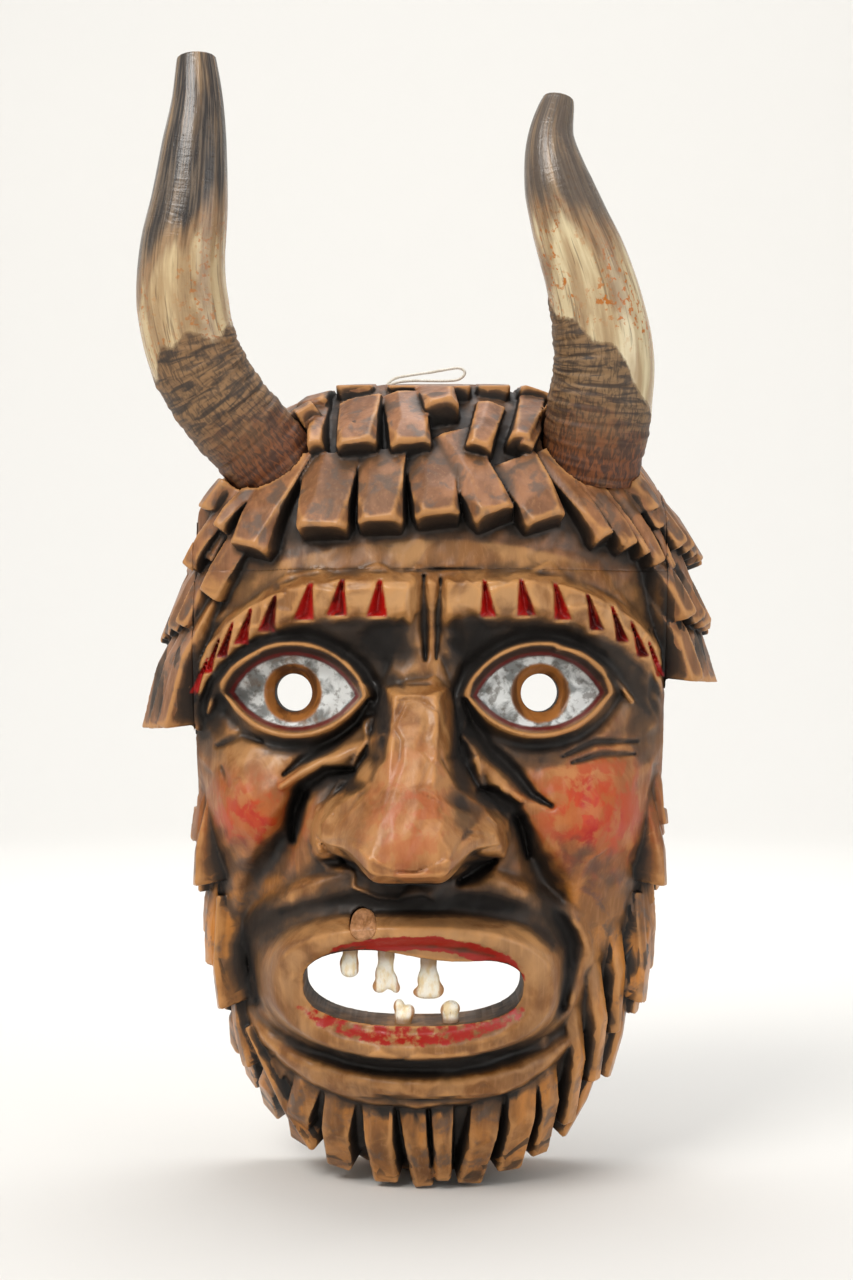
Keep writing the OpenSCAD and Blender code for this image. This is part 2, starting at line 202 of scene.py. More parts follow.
def brow_step(x, z):
    """Height above the brow's middle line."""
    return z - brow_height(np.abs(x - BROW_X - 3))


def brows(x, z):
    s = brow_step(x, z)
    underside = 0.45 * ramp(-44, -24, s) + 0.55 * ramp(-22, -9, s)
    shelf = underside * (1 - 0.8 * ramp(7, 16, s) - 0.2 * ramp(16, 40, s))
    inner = ramp(6, 13, np.abs(x - BROW_X))
    ends = ramp(165, 150, np.abs(x - BROW_X))
    return 21 * shelf * (0.35 + 0.65 * inner) * ends


# Painted notches across the brows: x, width
NOTCHES = [(-152, 5), (-143, 6), (-133, 7), (-120, 9), (-103, 11), (-79, 13), (-58, 13),
           (-33, 13), (36, 10), (60, 12), (83, 11), (105, 9), (122, 8), (136, 8), (149, 7)]


def notch(x, z, at, width):
    """1 in the middle of one V notch, 0 at its edges and beyond."""
    drop = z - brow_height(abs(at - BROW_X - 3)) + 2
    lean = -0.0028 * (at - BROW_X) * drop
    half = width / 2 * np.clip(0.75 - drop / 22, 0.2, 1.2)
    across = 1 - np.abs(x - at - lean) / half
    along = 1 - np.abs(drop) / 12.5
    return np.clip(np.minimum(across, along * 2.5), 0, 1)


def almond(x, z, eye):
    """Signed distance to the almond outline of one eye, negative inside."""
    cx, cz, side = eye
    dx = (x - cx) * side
    up = np.hypot(dx - 0.5, z - cz + 21) - 46
    low = np.hypot(dx - 1.5, z - cz - 27) - 49.5
    return np.maximum(up, low)


def lid_crest(z, cz):
    """How far outside the almond the lid's rim stands: further above than below."""
    return 4.6 + 2.4 * ramp(-8, 8, z - cz)


def eye_shape(x, z, eye):
    """Change of depth round one eye: socket, ball, lids and chiselled iris."""
    cx, cz, _ = eye
    a = almond(x, z, eye)
    r = np.hypot(x - cx, z - cz)
    crest = lid_crest(z, cz)
    lid = 6.5 * np.exp(-((a - crest) / 2.3) ** 2) + 3 * ramp(0, 3, a) * ramp(14, 8, a)
    crease = -3.6 * np.exp(-((a - crest - 7) / 4.5) ** 2)
    socket = -15 * bump(x - cx, z - cz - 4, 58, 40)
    ball = 12 * bump(x - cx, z - cz, 42, 26)
    iris = -8 * ramp(20, 12, r)
    return socket + ball + lid + crease - 4 * ramp(1, -2, a) + iris


def groove(x, z, points, width, depth):
    """A cut with a round bottom along a run of points, pinched at both ends."""
    best = np.full(np.broadcast(x, z).shape, 1e3)
    total = len(points) - 1
    for k in range(total):
        (ax, az), (bx, bz) = points[k], points[k + 1]
        dx, dz = bx - ax, bz - az
        t = np.clip(((x - ax) * dx + (z - az) * dz) / (dx * dx + dz * dz), 0, 1)
        along = (k + t) / total
        pinch = 0.35 + 0.65 * np.sin(math.pi * np.clip(along, 0.02, 0.98))
        gap = np.hypot(x - ax - t * dx, z - az - t * dz) / pinch
        best = np.minimum(best, gap)
    return -depth * np.exp(-(best / width) ** 2)


# Creases of the face: points, width and depth
CREASES = [
    ([(-40, 53), (-49, 39), (-63, 27), (-82, 15), (-95, 5)], 4.5, 6),
    ([(23, 53), (28, 39), (39, 22), (55, 7), (66, -7), (78, -14)], 4.5, 7),
    ([(-50, 8), (-68, 7), (-82, -3), (-89, -18), (-90, -38)], 6, 11),
    ([(-84, -8), (-94, -36), (-112, -66), (-124, -104), (-118, -146)], 12, 16),
    ([(31, -4), (43, -7), (54, -17), (61, -32), (64, -48)], 5, 9),
    ([(58, -24), (66, -48), (78, -72), (92, -108), (86, -146)], 10, 16),
    ([(-71, -34), (-64, -42), (-55, -50)], 2.6, 7),
    ([(19, -62), (30, -56), (42, -49)], 4.6, 13),
    ([(-4, 134), (-4, 110), (-3, 80)], 3.2, 5),
    ([(7, 132), (6, 110), (4, 80)], 2.4, 4),
    ([(86, 17), (108, 26), (138, 25)], 2.2, 3),
    ([(92, 13), (112, 18), (136, 17)], 2.2, 3),
    ([(-142, 22), (-124, 30), (-110, 26)], 3, 3),
    ([(-138, 8), (-132, -4), (-124, 2)], 3, 3),
    ([(-22, 55), (-8, 55), (0, 51), (7, 46)], 1.0, 1.6),
    ([(-26, 138), (-8, 137.5), (10, 138.5), (36, 138)], 0.9, 2.4),
]
# Raised folds: points, width and height
FOLDS = [
    ([(-30, 33), (-47, 23), (-63, 15), (-84, 5), (-96, -2)], 6, 6),
    ([(22, 30), (34, 12), (48, -4), (58, -10)], 6, 5),
    ([(82, 86), (100, 82), (118, 72), (134, 52)], 4, 6),
    ([(-112, 84), (-130, 74), (-141, 62), (-148, 44)], 4, 6),
]


def lips(x, z):
    """The thick flat band round the mouth, its inner slope and the gap outside it."""
    dx, dz = (x - MOUTH_X) / LIP_X, (z - MOUTH_Z + 2) / LIP_Z
    r = (np.abs(dx) ** 2.3 + np.abs(dz) ** 2.3) ** (1 / 2.3)
    band = 25 * ramp(1.34, 1.1, r)
    inner = -10 * ramp(1.0, 0.72, r)
    aside = ramp(0.15, 0.6, np.abs(dx)) + ramp(-0.6, -1.1, dz)
    above = 1 - 0.7 * ramp(-0.1, 0.5, dz)
    gap = -11 * np.exp(-((r - 1.48) / 0.13) ** 2) * np.clip(aside, 0, 1) * above
    return band + inner + gap


def coarse_face(x, z):
    """The broad forms, which the carver left as flats."""
    muzzle = 9 * bump(x - MOUTH_X, z + 84, 66, 40)
    cheeks = 21 * bump(x + 122, z + 14, 34, 34) + 23 * bump(x - 106, z + 22, 37, 38)
    chin = 17 * ramp(-204, -197, z) * ramp(-170, -180, z) * bump(x - MOUTH_X - 12, 0, 62, 1)
    return dome(x, z) + nose(x, z) + brows(x, z) + muzzle + cheeks + chin


def flats(height, xs, zs, pitch, seed):
    """The same surface as flat triangles between points about a pitch apart."""
    rng = np.random.default_rng(seed)
    columns = np.arange(xs[0] - pitch, xs[-1] + 2 * pitch, pitch)
    rows = np.arange(zs[0] - pitch, zs[-1] + 2 * pitch, pitch)
    px = columns[:, None] + rng.uniform(-0.38, 0.38, (len(columns), len(rows))) * pitch
    pz = rows[None, :] + rng.uniform(-0.38, 0.38, (len(columns), len(rows))) * pitch
    ph = height(px, pz)
    out = height(xs[:, None], zs[None, :])
    step = xs[1] - xs[0]
    for i in range(len(columns) - 1):
        for j in range(len(rows) - 1):
            quad = [(i, j), (i + 1, j), (i + 1, j + 1), (i, j + 1)]
            for corners in ((0, 1, 2), (0, 2, 3)) if (i + j) % 2 else ((0, 1, 3), (1, 2, 3)):
                (x0, z0, h0), (x1, z1, h1), (x2, z2, h2) = [
                    (px[quad[c]], pz[quad[c]], ph[quad[c]]) for c in corners]
                i0 = max(0, int((min(x0, x1, x2) - xs[0]) / step))
                i1 = min(len(xs), int((max(x0, x1, x2) - xs[0]) / step) + 2)
                j0 = max(0, int((min(z0, z1, z2) - zs[0]) / step))
                j1 = min(len(zs), int((max(z0, z1, z2) - zs[0]) / step) + 2)
                if i0 >= i1 or j0 >= j1:
                    continue
                gx, gz = xs[i0:i1, None], zs[None, j0:j1]
                area = (x1 - x0) * (z2 - z0) - (x2 - x0) * (z1 - z0)
                b = ((gx - x0) * (z2 - z0) - (x2 - x0) * (gz - z0)) / area
                c = ((x1 - x0) * (gz - z0) - (gx - x0) * (z1 - z0)) / area
                hit = (b >= 0) & (c >= 0) & (b + c <= 1)
                block = out[i0:i1, j0:j1]
                flat = h0 + b * (h1 - h0) + c * (h2 - h0)
                block[hit] = flat[hit]
    return out


def beard_zone(x, z):
    """1 where the beard's locks stand on skin that was cut back for them."""
    r = np.hypot((x - MOUTH_X) / 122, (z - MOUTH_Z + 4) / 80)
    return ramp(0.96, 1.06, r) * ramp(-20, -80, z)


def face_depth(xs, zs):
    """Depth of the carved front of the head over the whole grid."""
    x, z = xs[:, None], zs[None, :]
    smooth = coarse_face(x, z)
    faceted = flats(coarse_face, xs, zs, 14, 3)
    trust = np.exp(-((faceted - smooth) / 6) ** 2)
    depth = smooth + 0.95 * trust * (faceted - smooth)
    for eye in EYES:
        depth = depth + eye_shape(x, z, eye)
    for points, width, cut in CREASES:
        depth = depth + groove(x, z, points, width, cut)
    for points, width, rise in FOLDS:
        depth = depth - groove(x, z, points, width, rise)
    depth = depth + lips(x, z)
    notches = sum(9 * notch(x, z, at, width) for at, width in NOTCHES)
    depth = depth - notches
    depth = depth - 11 * beard_zone(x, z)
    return np.maximum(7, depth + 0.35 * rounded_noise(x, z, 14, 5))


# ------------------------------------------------------------------ carving tools

class Carving:
    """A solid as signed distances in millimetres on a grid, negative inside."""

    def __init__(self, low, high, step):
        self.step = step
        self.axes = [np.arange(a, b, step) for a, b in zip(low, high)]
        self.field = np.full([len(a) for a in self.axes], 50, np.float32)

    def near(self, low, high):
        """The part of the field inside a box, and its coordinates."""
        parts = []
        for axis, a, b in zip(self.axes, low, high):
            start = int(np.clip((a - axis[0]) / self.step, 0, len(axis)))
            stop = int(np.clip((b - axis[0]) / self.step + 2, 0, len(axis)))
            parts.append(slice(start, stop))
        x, y, z = [axis[part].astype(np.float32) for axis, part in zip(self.axes, parts)]
        return self.field[tuple(parts)], (x[:, None, None], y[None, :, None], z[None, None, :])

    def add(self, solid, low, high):
        part, at = self.near(low, high)
        np.minimum(part, solid(*at), out=part)

    def cut(self, solid, low, high):
        part, at = self.near(low, high)
        np.maximum(part, -solid(*at), out=part)

    def add_limit(self, normal, point):
        """Cuts off everything in front of a plane."""
        x, y, z = [axis.astype(np.float32) for axis in self.axes]
        beyond = planes_solid([(normal, point)])
        np.maximum(self.field, beyond(x[:, None, None], y[None, :, None], z[None, None, :]),
                   out=self.field)


def planes_solid(planes):
    """Distance to the solid behind all of the planes, given as (normal, point)."""
    def distance(x, y, z):
        best = None
        for normal, point in planes:
            n = unit(normal)
            d = n[0] * x + n[1] * y + n[2] * z - float(n @ point)
            best = d if best is None else np.maximum(best, d)
        return best
    return distance


def add_lock(carving, root, tip, out, width, t_root, t_tip, roll=0.0, sink=22, cut=0.25,
             knee=0.6, swell=1.0, narrow=0.16):
    """One lock: a bar whose top bends at a knee and ends in a blunt, bevelled tip."""
    u = unit(tip - root)
    w = unit(out - (out @ u) * u)
    v = np.cross(w, u)
    length = np.linalg.norm(tip - root)
    half = width / 2
    bevel = min(5.0, 0.2 * width)
    knee_t = t_root + (t_tip - t_root) * knee + swell
    rise_1 = (knee_t - t_root) / (knee * length)
    rise_2 = (t_tip - knee_t) / ((1 - knee) * length)
    knee_at = root + knee * (tip - root) + knee_t * w
    top = tip + t_tip * w
    lean = math.tan(roll)
    planes = [
        (w + lean * v - rise_1 * u, knee_at),
        (w + 0.6 * lean * v - rise_2 * u, knee_at),
        (w - 0.42 * v - rise_1 * u, knee_at - 0.35 * half * v),
        (u - cut * w, top),
        (0.75 * u + w, top - 0.45 * bevel * u),
        (-u, root - 5 * u),
        (-w, root - sink * w),
        (-w, tip - sink * w),
    ]
    for side in (-1, 1):
        planes += [
            (side * v + 0.12 * w, root + side * half * v),
            (side * v + 0.12 * w, tip + side * half * v),
            (side * v + 0.8 * w, knee_at + side * (half - 0.7 * bevel) * v),
            (side * v + 0.42 * u, tip + side * (1 - narrow) * half * v),
        ]
    corners = np.array([root, tip])
    reach = max(half, t_tip, t_root) + 8
    low = corners.min(0) - reach - sink * np.maximum(w, 0)
    high = corners.max(0) + reach - sink * np.minimum(w, 0)
    carving.add(planes_solid(planes), low, high)


def cylinder(base, tip, r_base, r_tip):
    """Distance to a round cone with flat ends."""
    axis = unit(np.subtract(tip, base))
    length = np.linalg.norm(np.subtract(tip, base))

    def distance(x, y, z):
        dx, dy, dz = x - base[0], y - base[1], z - base[2]
        along = dx * axis[0] + dy * axis[1] + dz * axis[2]
        away = np.sqrt(np.maximum(0, dx * dx + dy * dy + dz * dz - along * along))
        radius = r_base + (r_tip - r_base) * np.clip(along / length, 0, 1)
        return np.maximum(away - radius, np.maximum(-along, along - length))
    return distance


# ------------------------------------------------------------------ hair and beard

# Locks of hair seen from the front: root x, z, tip x, z, width, height at the tip, roll
FRINGE = [
    (-64, 210, -67, 159, 38, 23, 0.10), (-31, 212, -31, 162, 33, 24, -0.12),
    (-1, 214, 5, 166, 33, 23, 0.15), (13, 224, 41, 167, 32, 24, 0.3),
    (56, 206, 72, 165, 32, 22, -0.15), (-90, 212, -113, 148, 31, 23, -0.15),
    (-108, 200, -132, 162, 14, 19, 0.2), (-126, 190, -153, 140, 15, 17, 0.2),
    (-116, 170, -140, 122, 20, 15, 0.35),
    (74, 212, 109, 155, 17, 21, 0.25), (84, 208, 121, 151, 8, 19, -0.3),
    (99, 198, 125, 151, 15, 20, 0.25), (108, 194, 136, 147, 8, 17, -0.3),
    (122, 190, 144, 142, 14, 18, 0.25), (132, 190, 153, 139, 9, 16, -0.3),
    (140, 186, 168, 122, 15, 16, 0.2),
]
UPPER = [
    (-73, 246, -72, 212, 13, 17, 0.5), (-46, 250, -46, 211, 30, 19, -0.1),
    (-17, 254, -12, 211, 30, 19, 0.12), (2, 262, 8, 236, 26, 20, -0.2),
    (40, 246, 30, 210, 20, 18, 0.2), (68, 252, 56, 214, 18, 19, -0.2),
    (70, 236, 60, 212, 12, 16, 0.3), (-96, 232, -88, 214, 18, 12, 0.2),
]
BACK = [
    (-96, 246, -94, 230, 20, 9, 0), (-76, 258, -78, 244, 24, 11, 0.1),
    (-50, 269, -50, 258, 27, 15, 0.1), (-12, 271, -12, 260, 34, 14, -0.1),
    (16, 272, 16, 254, 24, 17, 0.1), (44, 270, 42, 256, 24, 15, -0.1),
    (70, 264, 70, 252, 24, 13, 0.1), (92, 256, 96, 240, 26, 11, 0),
]
# Beard seen from the front, from the left round the chin to the right: root x, z,
# tip x, z, width, height at the root and at the tip
BEARD = [
    (-154, 4, -152, -58, 11, -10, 3), (-150, -44, -146, -112, 12, -10, 4),
    (-144, -92, -137, -158, 14, -11, 6), (-128, -142, -130, -190, 15, -9, 9),
    (-118, -158, -117, -212, 18, -9, 10), (-101, -176, -103, -232, 19, -9, 11),
    (-82, -186, -80, -244, 22, -9, 12), (-61, -194, -56, -253, 22, -9, 13),
    (-37, -198, -27, -259, 21, -9, 13), (-14, -200, -4, -261, 17, -9, 13),
    (8, -200, 8, -257, 14, -9, 12), (42, -192, 24, -260, 21, -9, 13),
    (64, -178, 48, -253, 21, -9, 13), (79, -164, 68, -246, 17, -9, 12),
    (98, -130, 87, -226, 14, -9, 11), (114, -112, 104, -198, 14, -9, 10),
    (130, -84, 121, -168, 12, -10, 7), (142, -58, 136, -132, 10, -10, 5),
    (153, -12, 149, -86, 10, -10, 4),
]


def add_hair(carving):
    for rows in (BACK, UPPER, FRINGE):
        for rx, rz, tx, tz, width, height, roll in rows:
            root, tip = on_dome(rx, min(rz, 270)), on_dome(tx, tz)
            out = dome_normal((rx + tx) / 2, (rz + tz) / 2)
            add_lock(carving, root, tip, out, width, 6, height, roll, cut=-0.1, swell=2.0)


def add_beard(carving, rng):
    for rx, rz, tx, tz, width, t_root, t_tip in BEARD:
        root, tip = on_dome(rx, rz), on_dome(tx, tz)
        middle = on_dome((rx + tx) / 2, (rz + tz) / 2)
        out = dome_normal((rx + tx) / 2, (rz + tz) / 2)
        bulge = float((middle - (root + tip) / 2) @ out)
        add_lock(carving, root, tip, out, width, t_root, t_tip, rng.uniform(-0.1, 0.45),
                 sink=34, cut=-0.3, knee=0.5, swell=bulge + 2.5, narrow=0.25)


def flank_point(side, y, z, proud=0):
    return np.array([side * (float(half_width(np.array(z))) + proud), y, z])


def add_flank_rows(carving, rng):
    """Rows of locks down both sides, from the front of the head to its back."""
    for side in (-1, 1):
        for row, z_root in enumerate((250, 218, 188)):
            for k in range(4):
                z_tip = z_root - 40
                y = -8 - 19 * k - 5 * (row % 2)
                root, tip = flank_point(side, y, z_root, -14), flank_point(side, y, z_tip, -9)
                out = unit([side, -0.15 * k, 0.8 * (z_tip - 150) / 160])
                add_lock(carving, root, tip, out, 18, 0, 7, rng.uniform(-0.2, 0.2))
        for row, z_root in enumerate(np.arange(30, -200, -40.0)):
            for k in range(3):
                y = -4 - 18 * k - 9 * (row % 2) + rng.uniform(-2, 2)
                z_top = z_root + rng.uniform(-9, 9)
                z_tip = z_top - 62 - rng.uniform(0, 14)
                root, tip = flank_point(side, y, z_top, -12), flank_point(side, y - 7, z_tip, -6)
                slope = (root[0] - tip[0]) * side / (z_top - z_tip)
                out = unit([side, -0.1 - 0.12 * k, -slope])
                add_lock(carving, root, tip, out, 19 + rng.uniform(-2, 3), 0, 7,
                         rng.uniform(-0.3, 0.3), sink=14, swell=3, narrow=0.35)


# Hair wings, outside the glued flanks: root x, z, tip x, z and swell of each tier; the
# lowest tier runs past the wing's flat sawn end
WING_TIERS = [
    (-1, WING_LOW_LEFT, [(-130, 208, -168, 134, 3), (-145, 180, -187, 90, 4),
                         (-160, 134, -199, 22, 8)]),
    (1, WING_LOW_RIGHT, [(140, 222, 176, 156, 3), (146, 208, 190, 144, 4),
                         (162, 160, 195, 96, 4), (166, 132, 200, 52, 7)]),
]
WING_ROWS = [(-7, 20), (-24, 19), (-40, 19), (-55, 18), (-68, 15)]    # y and width


def add_wings(carving, rng):
    for side, low, tiers in WING_TIERS:
        for tier, (rx, rz, tx, tz, swell) in enumerate(tiers):
            for row, (y, width) in enumerate(WING_ROWS):
                inward = side * (0.0042 * y * y + rng.uniform(0, 2))
                y = y + 6 * (tier % 2) + rng.uniform(-2, 2)
                root = np.array([rx - inward, y, rz], float)
                tip = np.array([tx - inward, y - 3, tz + 3 * row], float)
                out = unit([side, 0.014 * y, 0.3])
                add_lock(carving, root, tip, out, width, 0, 2, rng.uniform(-0.25, 0.1), sink=34,
                         swell=swell, knee=0.55, narrow=0.2)
        edge = side * BLOCK_HALF
        carving.cut(planes_solid([((-side, 0, 0), (edge, 0, 0)),
                                  ((0.1 * side, -0.02, 1), (side * 190, 0, low + 1))]),
                    (min(edge, side * 260), -100, -20), (max(edge, side * 260), 20, low + 20))


# ------------------------------------------------------------------ horns

HORN_LEFT = [(-101, -60, 206), (-119, -69, 227), (-138, -77, 249), (-155, -85, 279),
             (-162, -91, 312), (-162, -96, 343), (-157, -98, 378), (-154, -98, 412),
             (-152, -96, 443), (-153, -93, 472)]
HORN_RIGHT = [(106, -60, 206), (110, -69, 228), (113, -76, 250), (115, -83, 276),
              (111, -89, 304), (103, -94, 334), (91, -97, 366), (82, -98, 395),
              (79, -95, 421), (84, -90, 446)]
HORN_R_LEFT, HORN_R_RIGHT = 29, 32
TAPER_LEFT = [(0, 1), (0.3, 1.02), (0.45, 1.02), (0.6, 0.92), (0.8, 0.7), (0.97, 0.47), (1, 0.44)]
TAPER_RIGHT = [(0, 1), (0.2, 1.05), (0.4, 0.97), (0.6, 0.84), (0.75, 0.68), (0.9, 0.45), (1, 0.32)]


def spline(points, t):
    """Points at the fractions t along a smooth curve through a list of points."""
    p = np.asarray(points, float)
    s = np.clip(np.asarray(t) * (len(p) - 1), 0, len(p) - 1 - 1e-6)
    k = s.astype(int)
    f = (s - k)[..., None]
    a, b, c, d = [p[np.clip(k + i, 0, len(p) - 1)] for i in (-1, 0, 1, 2)]
    return 0.5 * (2 * b + (c - a) * f + (2 * a - 5 * b + 4 * c - d) * f ** 2
                  + (3 * b - 3 * c + d - a) * f ** 3)


# ------------------------------------------------------------------ the whole head

def mouth_outline(x, z):
    """Signed size of the open mouth, negative inside, near a distance."""
    dx, dz = x - MOUTH_X, z - MOUTH_Z
    sag = -9 * np.exp(-((dx - 25) / 40) ** 2)
    high = np.where(dz > 0, MOUTH_HIGH + sag, MOUTH_HIGH)
    r = (np.abs(dx / MOUTH_HALF) ** 2.6 + np.abs(dz / high) ** 2.6) ** (1 / 2.6)
    return (r - 1) * high * 0.95


def slant(depth):
    """How far off a sloping surface is, as a share of its distance straight along y."""
    gx, gz = np.gradient(depth, VOXEL)
    return 1 / np.sqrt(1 + np.minimum(gx ** 2 + gz ** 2, 60))


def head_side(x, zs):
    """Distance outside the head's outline as seen from the front."""
    width = half_width(zs) - 8 * ramp(0, -60, zs)
    tilt = 1 / np.sqrt(1 + np.minimum(np.gradient(width, VOXEL) ** 2, 60))
    shoulder = 13 * (ramp(178, 200, zs) * ramp(245, 212, zs))[None, :] * (x < 0)
    side = (np.abs(x) + shoulder - width[None, :]) * tilt[None, :]
    return np.maximum(side, np.maximum(CHIN_Z - zs, zs - TOP_Z)[None, :])


def cut_hollow(carving, x, y, z):
    """The wearer's hollow, with the marks of the gouge."""
    inner = hollow_depth(x, z)
    gouges = 0.8 * np.abs(np.sin(x / 7 + 0.8 * np.sin(z / 31))) * np.abs(np.cos(z / 19 + x / 40))
    hollow = (-(inner + gouges)[:, None, :] - y) * slant(inner)[:, None, :]
    np.maximum(carving.field, -hollow, out=carving.field)


def cut_openings(carving):
    """The mouth and the pupils, right through the wood."""
    carving.cut(lambda x, y, z: mouth_outline(x, z) + 0 * y, (-90, -300, -165), (70, 300, -90))
    for cx, cz, _ in EYES:
        carving.cut(lambda x, y, z, cx=cx, cz=cz: np.hypot(x - cx, z - cz) - PUPIL_R + 0 * y,
                    (cx - 20, -300, cz - 20), (cx + 20, 300, cz + 20))


def cut_fixings(carving):
    """Each horn's seat, tenon hole and counterbore, and the groove for the cord."""
    for path, radius in ((HORN_LEFT, HORN_R_LEFT), (HORN_RIGHT, HORN_R_RIGHT)):
        base_at = np.array(path[0], float)
        axis = unit(np.subtract(path[1], path[0]))
        for start, stop, r_start, r_stop in ((0, 80, radius + 1, radius + 13),
                                             (-60, 1, TENON_R, TENON_R),
                                             (-114, -24, COUNTERBORE_R, COUNTERBORE_R)):
            bore = cylinder(base_at + start * axis, base_at + stop * axis, r_start, r_stop)
            carving.cut(bore, base_at - 130, base_at + 130)
    left, right = CORD_GROOVE_X
    carving.cut(planes_solid([((1, 0, 0), (right, 0, 0)), ((-1, 0, 0), (left, 0, 0)),
                              ((0, -1, 0), (0, -CORD_GROOVE_DEEP, 0)),
                              ((0, 0, -1), (0, 0, CORD_GROOVE_LOW))]),
                (left - 10, -20, CORD_GROOVE_LOW - 5), (right + 11, 20, 300))


def carve_head():
    """The whole head as one field, the field without its locks, and the face's depth."""
    rng = np.random.default_rng(21)
    carving = Carving((-216, -206, -280), (216, 8, 290), VOXEL)
    xs, ys, zs = carving.axes
    x, y, z = xs[:, None], ys[None, :, None], zs[None, :]
    depth = face_depth(xs, zs)
    side = head_side(x, zs)
    front = (-y - depth[:, None, :]) * slant(depth)[:, None, :]
    carving.field = np.maximum(front, side[:, None, :]).astype(np.float32)
    base = carving.field.copy()
    add_flank_rows(carving, rng)
    add_hair(carving)
    add_beard(carving, rng)
    add_wings(carving, rng)
    proud = 2.5 + 40 * ramp(246, 200, zs)
    np.maximum(carving.field, (side - proud[None, :])[:, None, :].astype(np.float32),
               out=carving.field)
    carving.add_limit((0, -0.15, 1), (0, 0, TOP_Z + 1.5))
    cut_hollow(carving, x, y, z)
    cut_openings(carving)
    cut_fixings(carving)
    np.maximum(carving.field, y.astype(np.float32), out=carving.field)
    return carving, base, depth


# ------------------------------------------------------------------ meshing

def sample(volume, axes, points):
    """Values of a grid at points, straight between its voxels."""
    index = [(points[:, i] - axes[i][0]) / (axes[i][1] - axes[i][0]) for i in range(3)]
    low = [np.clip(k.astype(int), 0, n - 2) for k, n in zip(index, volume.shape)]
    part = [np.clip(k - l, 0, 1) for k, l in zip(index, low)]
    total = 0
    for corner in range(8):
        bits = [(corner >> i) & 1 for i in range(3)]
        weight = 1
        for bit, f in zip(bits, part):
            weight = weight * (f if bit else 1 - f)
        total = total + weight * volume[tuple(l + bit for l, bit in zip(low, bits))]
    return total


def box_blur(volume, reach):
    """Average over a cube that reaches so many voxels each way, run twice."""
    for _ in range(2):
        for axis in range(3):
            pad = [(0, 0)] * 3
            pad[axis] = (reach + 1, reach)
            running = np.cumsum(np.pad(volume, pad, mode="edge"), axis=axis, dtype=np.float64)
            count = volume.shape[axis]
            upper = np.take(running, range(2 * reach + 1, 2 * reach + 1 + count), axis=axis)
            lower = np.take(running, range(count), axis=axis)
            volume = ((upper - lower) / (2 * reach + 1)).astype(np.float32)
    return volume


def mesh_from_field(name, field, axes):
    """A closed mesh round the negative part of a field, in metres."""
    step = axes[0][1] - axes[0][0]
    clipped = np.clip(field, -3 * step, 3 * step).astype(np.float32)
    grid = openvdb.FloatGrid(3 * step)
    grid.copyFromArray(clipped)
    points, triangles, quads = grid.convertToPolygons(0.0, 0.0)
    origin = np.array([a[0] for a in axes])
    points = (points * step + origin) * MM
    faces = [tuple(face[::-1]) for face in triangles.tolist() + quads.tolist()]
    piece = new_piece(name, points, faces)
    count = len(triangles) + 2 * len(quads)
    if count > TRIANGLE_LIMIT:
        thin(piece, TRIANGLE_LIMIT / count)
    return piece


def new_piece(name, points, faces, closed=True):
    """A smooth-shaded object whose faces look outwards where it is closed."""
    mesh = bpy.data.meshes.new(name)
    mesh.from_pydata(np.asarray(points).tolist(), [], faces)
    mesh.update()
    if closed and volume_of(mesh) < 0:
        mesh.flip_normals()
    for polygon in mesh.polygons:
        polygon.use_smooth = True
    piece = bpy.data.objects.new(name, mesh)
    bpy.context.scene.collection.objects.link(piece)
    return piece


def ring_faces(rings, sides):
    """Quads between rings of points that follow each other."""
    return [(r * sides + j, r * sides + (j + 1) % sides,
             (r + 1) * sides + (j + 1) % sides, (r + 1) * sides + j)
            for r in range(rings - 1) for j in range(sides)]


def volume_of(mesh):
    mesh.calc_loop_triangles()
    corners = np.empty(len(mesh.loop_triangles) * 3, np.int64)
    mesh.loop_triangles.foreach_get("vertices", corners)
    a, b, c = [vertex_vectors(mesh, "co")[corners.reshape(-1, 3)[:, i]] for i in range(3)]
    return float(np.einsum("ij,ij->i", a, np.cross(b, c)).sum()) / 6


def thin(piece, ratio):
    """Fewer triangles where the surface is flat."""
    modifier = piece.modifiers.new("thin", "DECIMATE")
    modifier.ratio = ratio
    bpy.context.view_layer.objects.active = piece
    with bpy.context.temp_override(object=piece, active_object=piece):
        bpy.ops.object.modifier_apply(modifier=modifier.name)


def vertex_vectors(mesh, what):
    """The places ("co") or the normals ("normal") of all the vertices."""
    values = np.empty(len(mesh.vertices) * 3)
    mesh.vertices.foreach_get(what, values)
    return values.reshape(-1, 3)


def put_value(mesh, name, values):
    layer = mesh.attributes.new(name, "FLOAT", "POINT")
    layer.data.foreach_set("value", np.asarray(values, np.float32))


# ------------------------------------------------------------------ paint on the wood

# Stained places and painted shade: x, z, reach across, reach up, strength
STAIN_AND_SHADE_SPOTS = [
    (-30, 86, 17, 20, 1.1), (-28, 44, 10, 22, 0.8), (26, 88, 15, 20, 1.1),
    (25, 40, 10, 26, 0.8), (-142, 40, 12, 30, 0.7), (142, 30, 12, 30, 0.5),
    (-2, -74, 62, 8, 1.2), (-8, -178, 58, 6, 1.1), (-8, -190, 66, 13, 0.45),
    (92, -52, 13, 20, 0.7), (112, -80, 22, 24, 0.85), (-112, -84, 26, 24, 1.1),
    (-134, -64, 16, 26, 0.8), (-80, 18, 36, 8, 0.7), (82, 18, 40, 9, 0.75),
    (52, 18, 18, 10, 0.4), (-60, -64, 14, 10, 0.5), (100, 30, 34, 7, 0.6),
    (-88, 26, 26, 5, 0.6), (34, -62, 14, 10, 0.7), (-56, 0, 16, 6, 0.8), (44, -6, 12, 8, 0.7),
    (-146, -110, 16, 40, 0.5), (138, -120, 16, 40, 0.5),
]
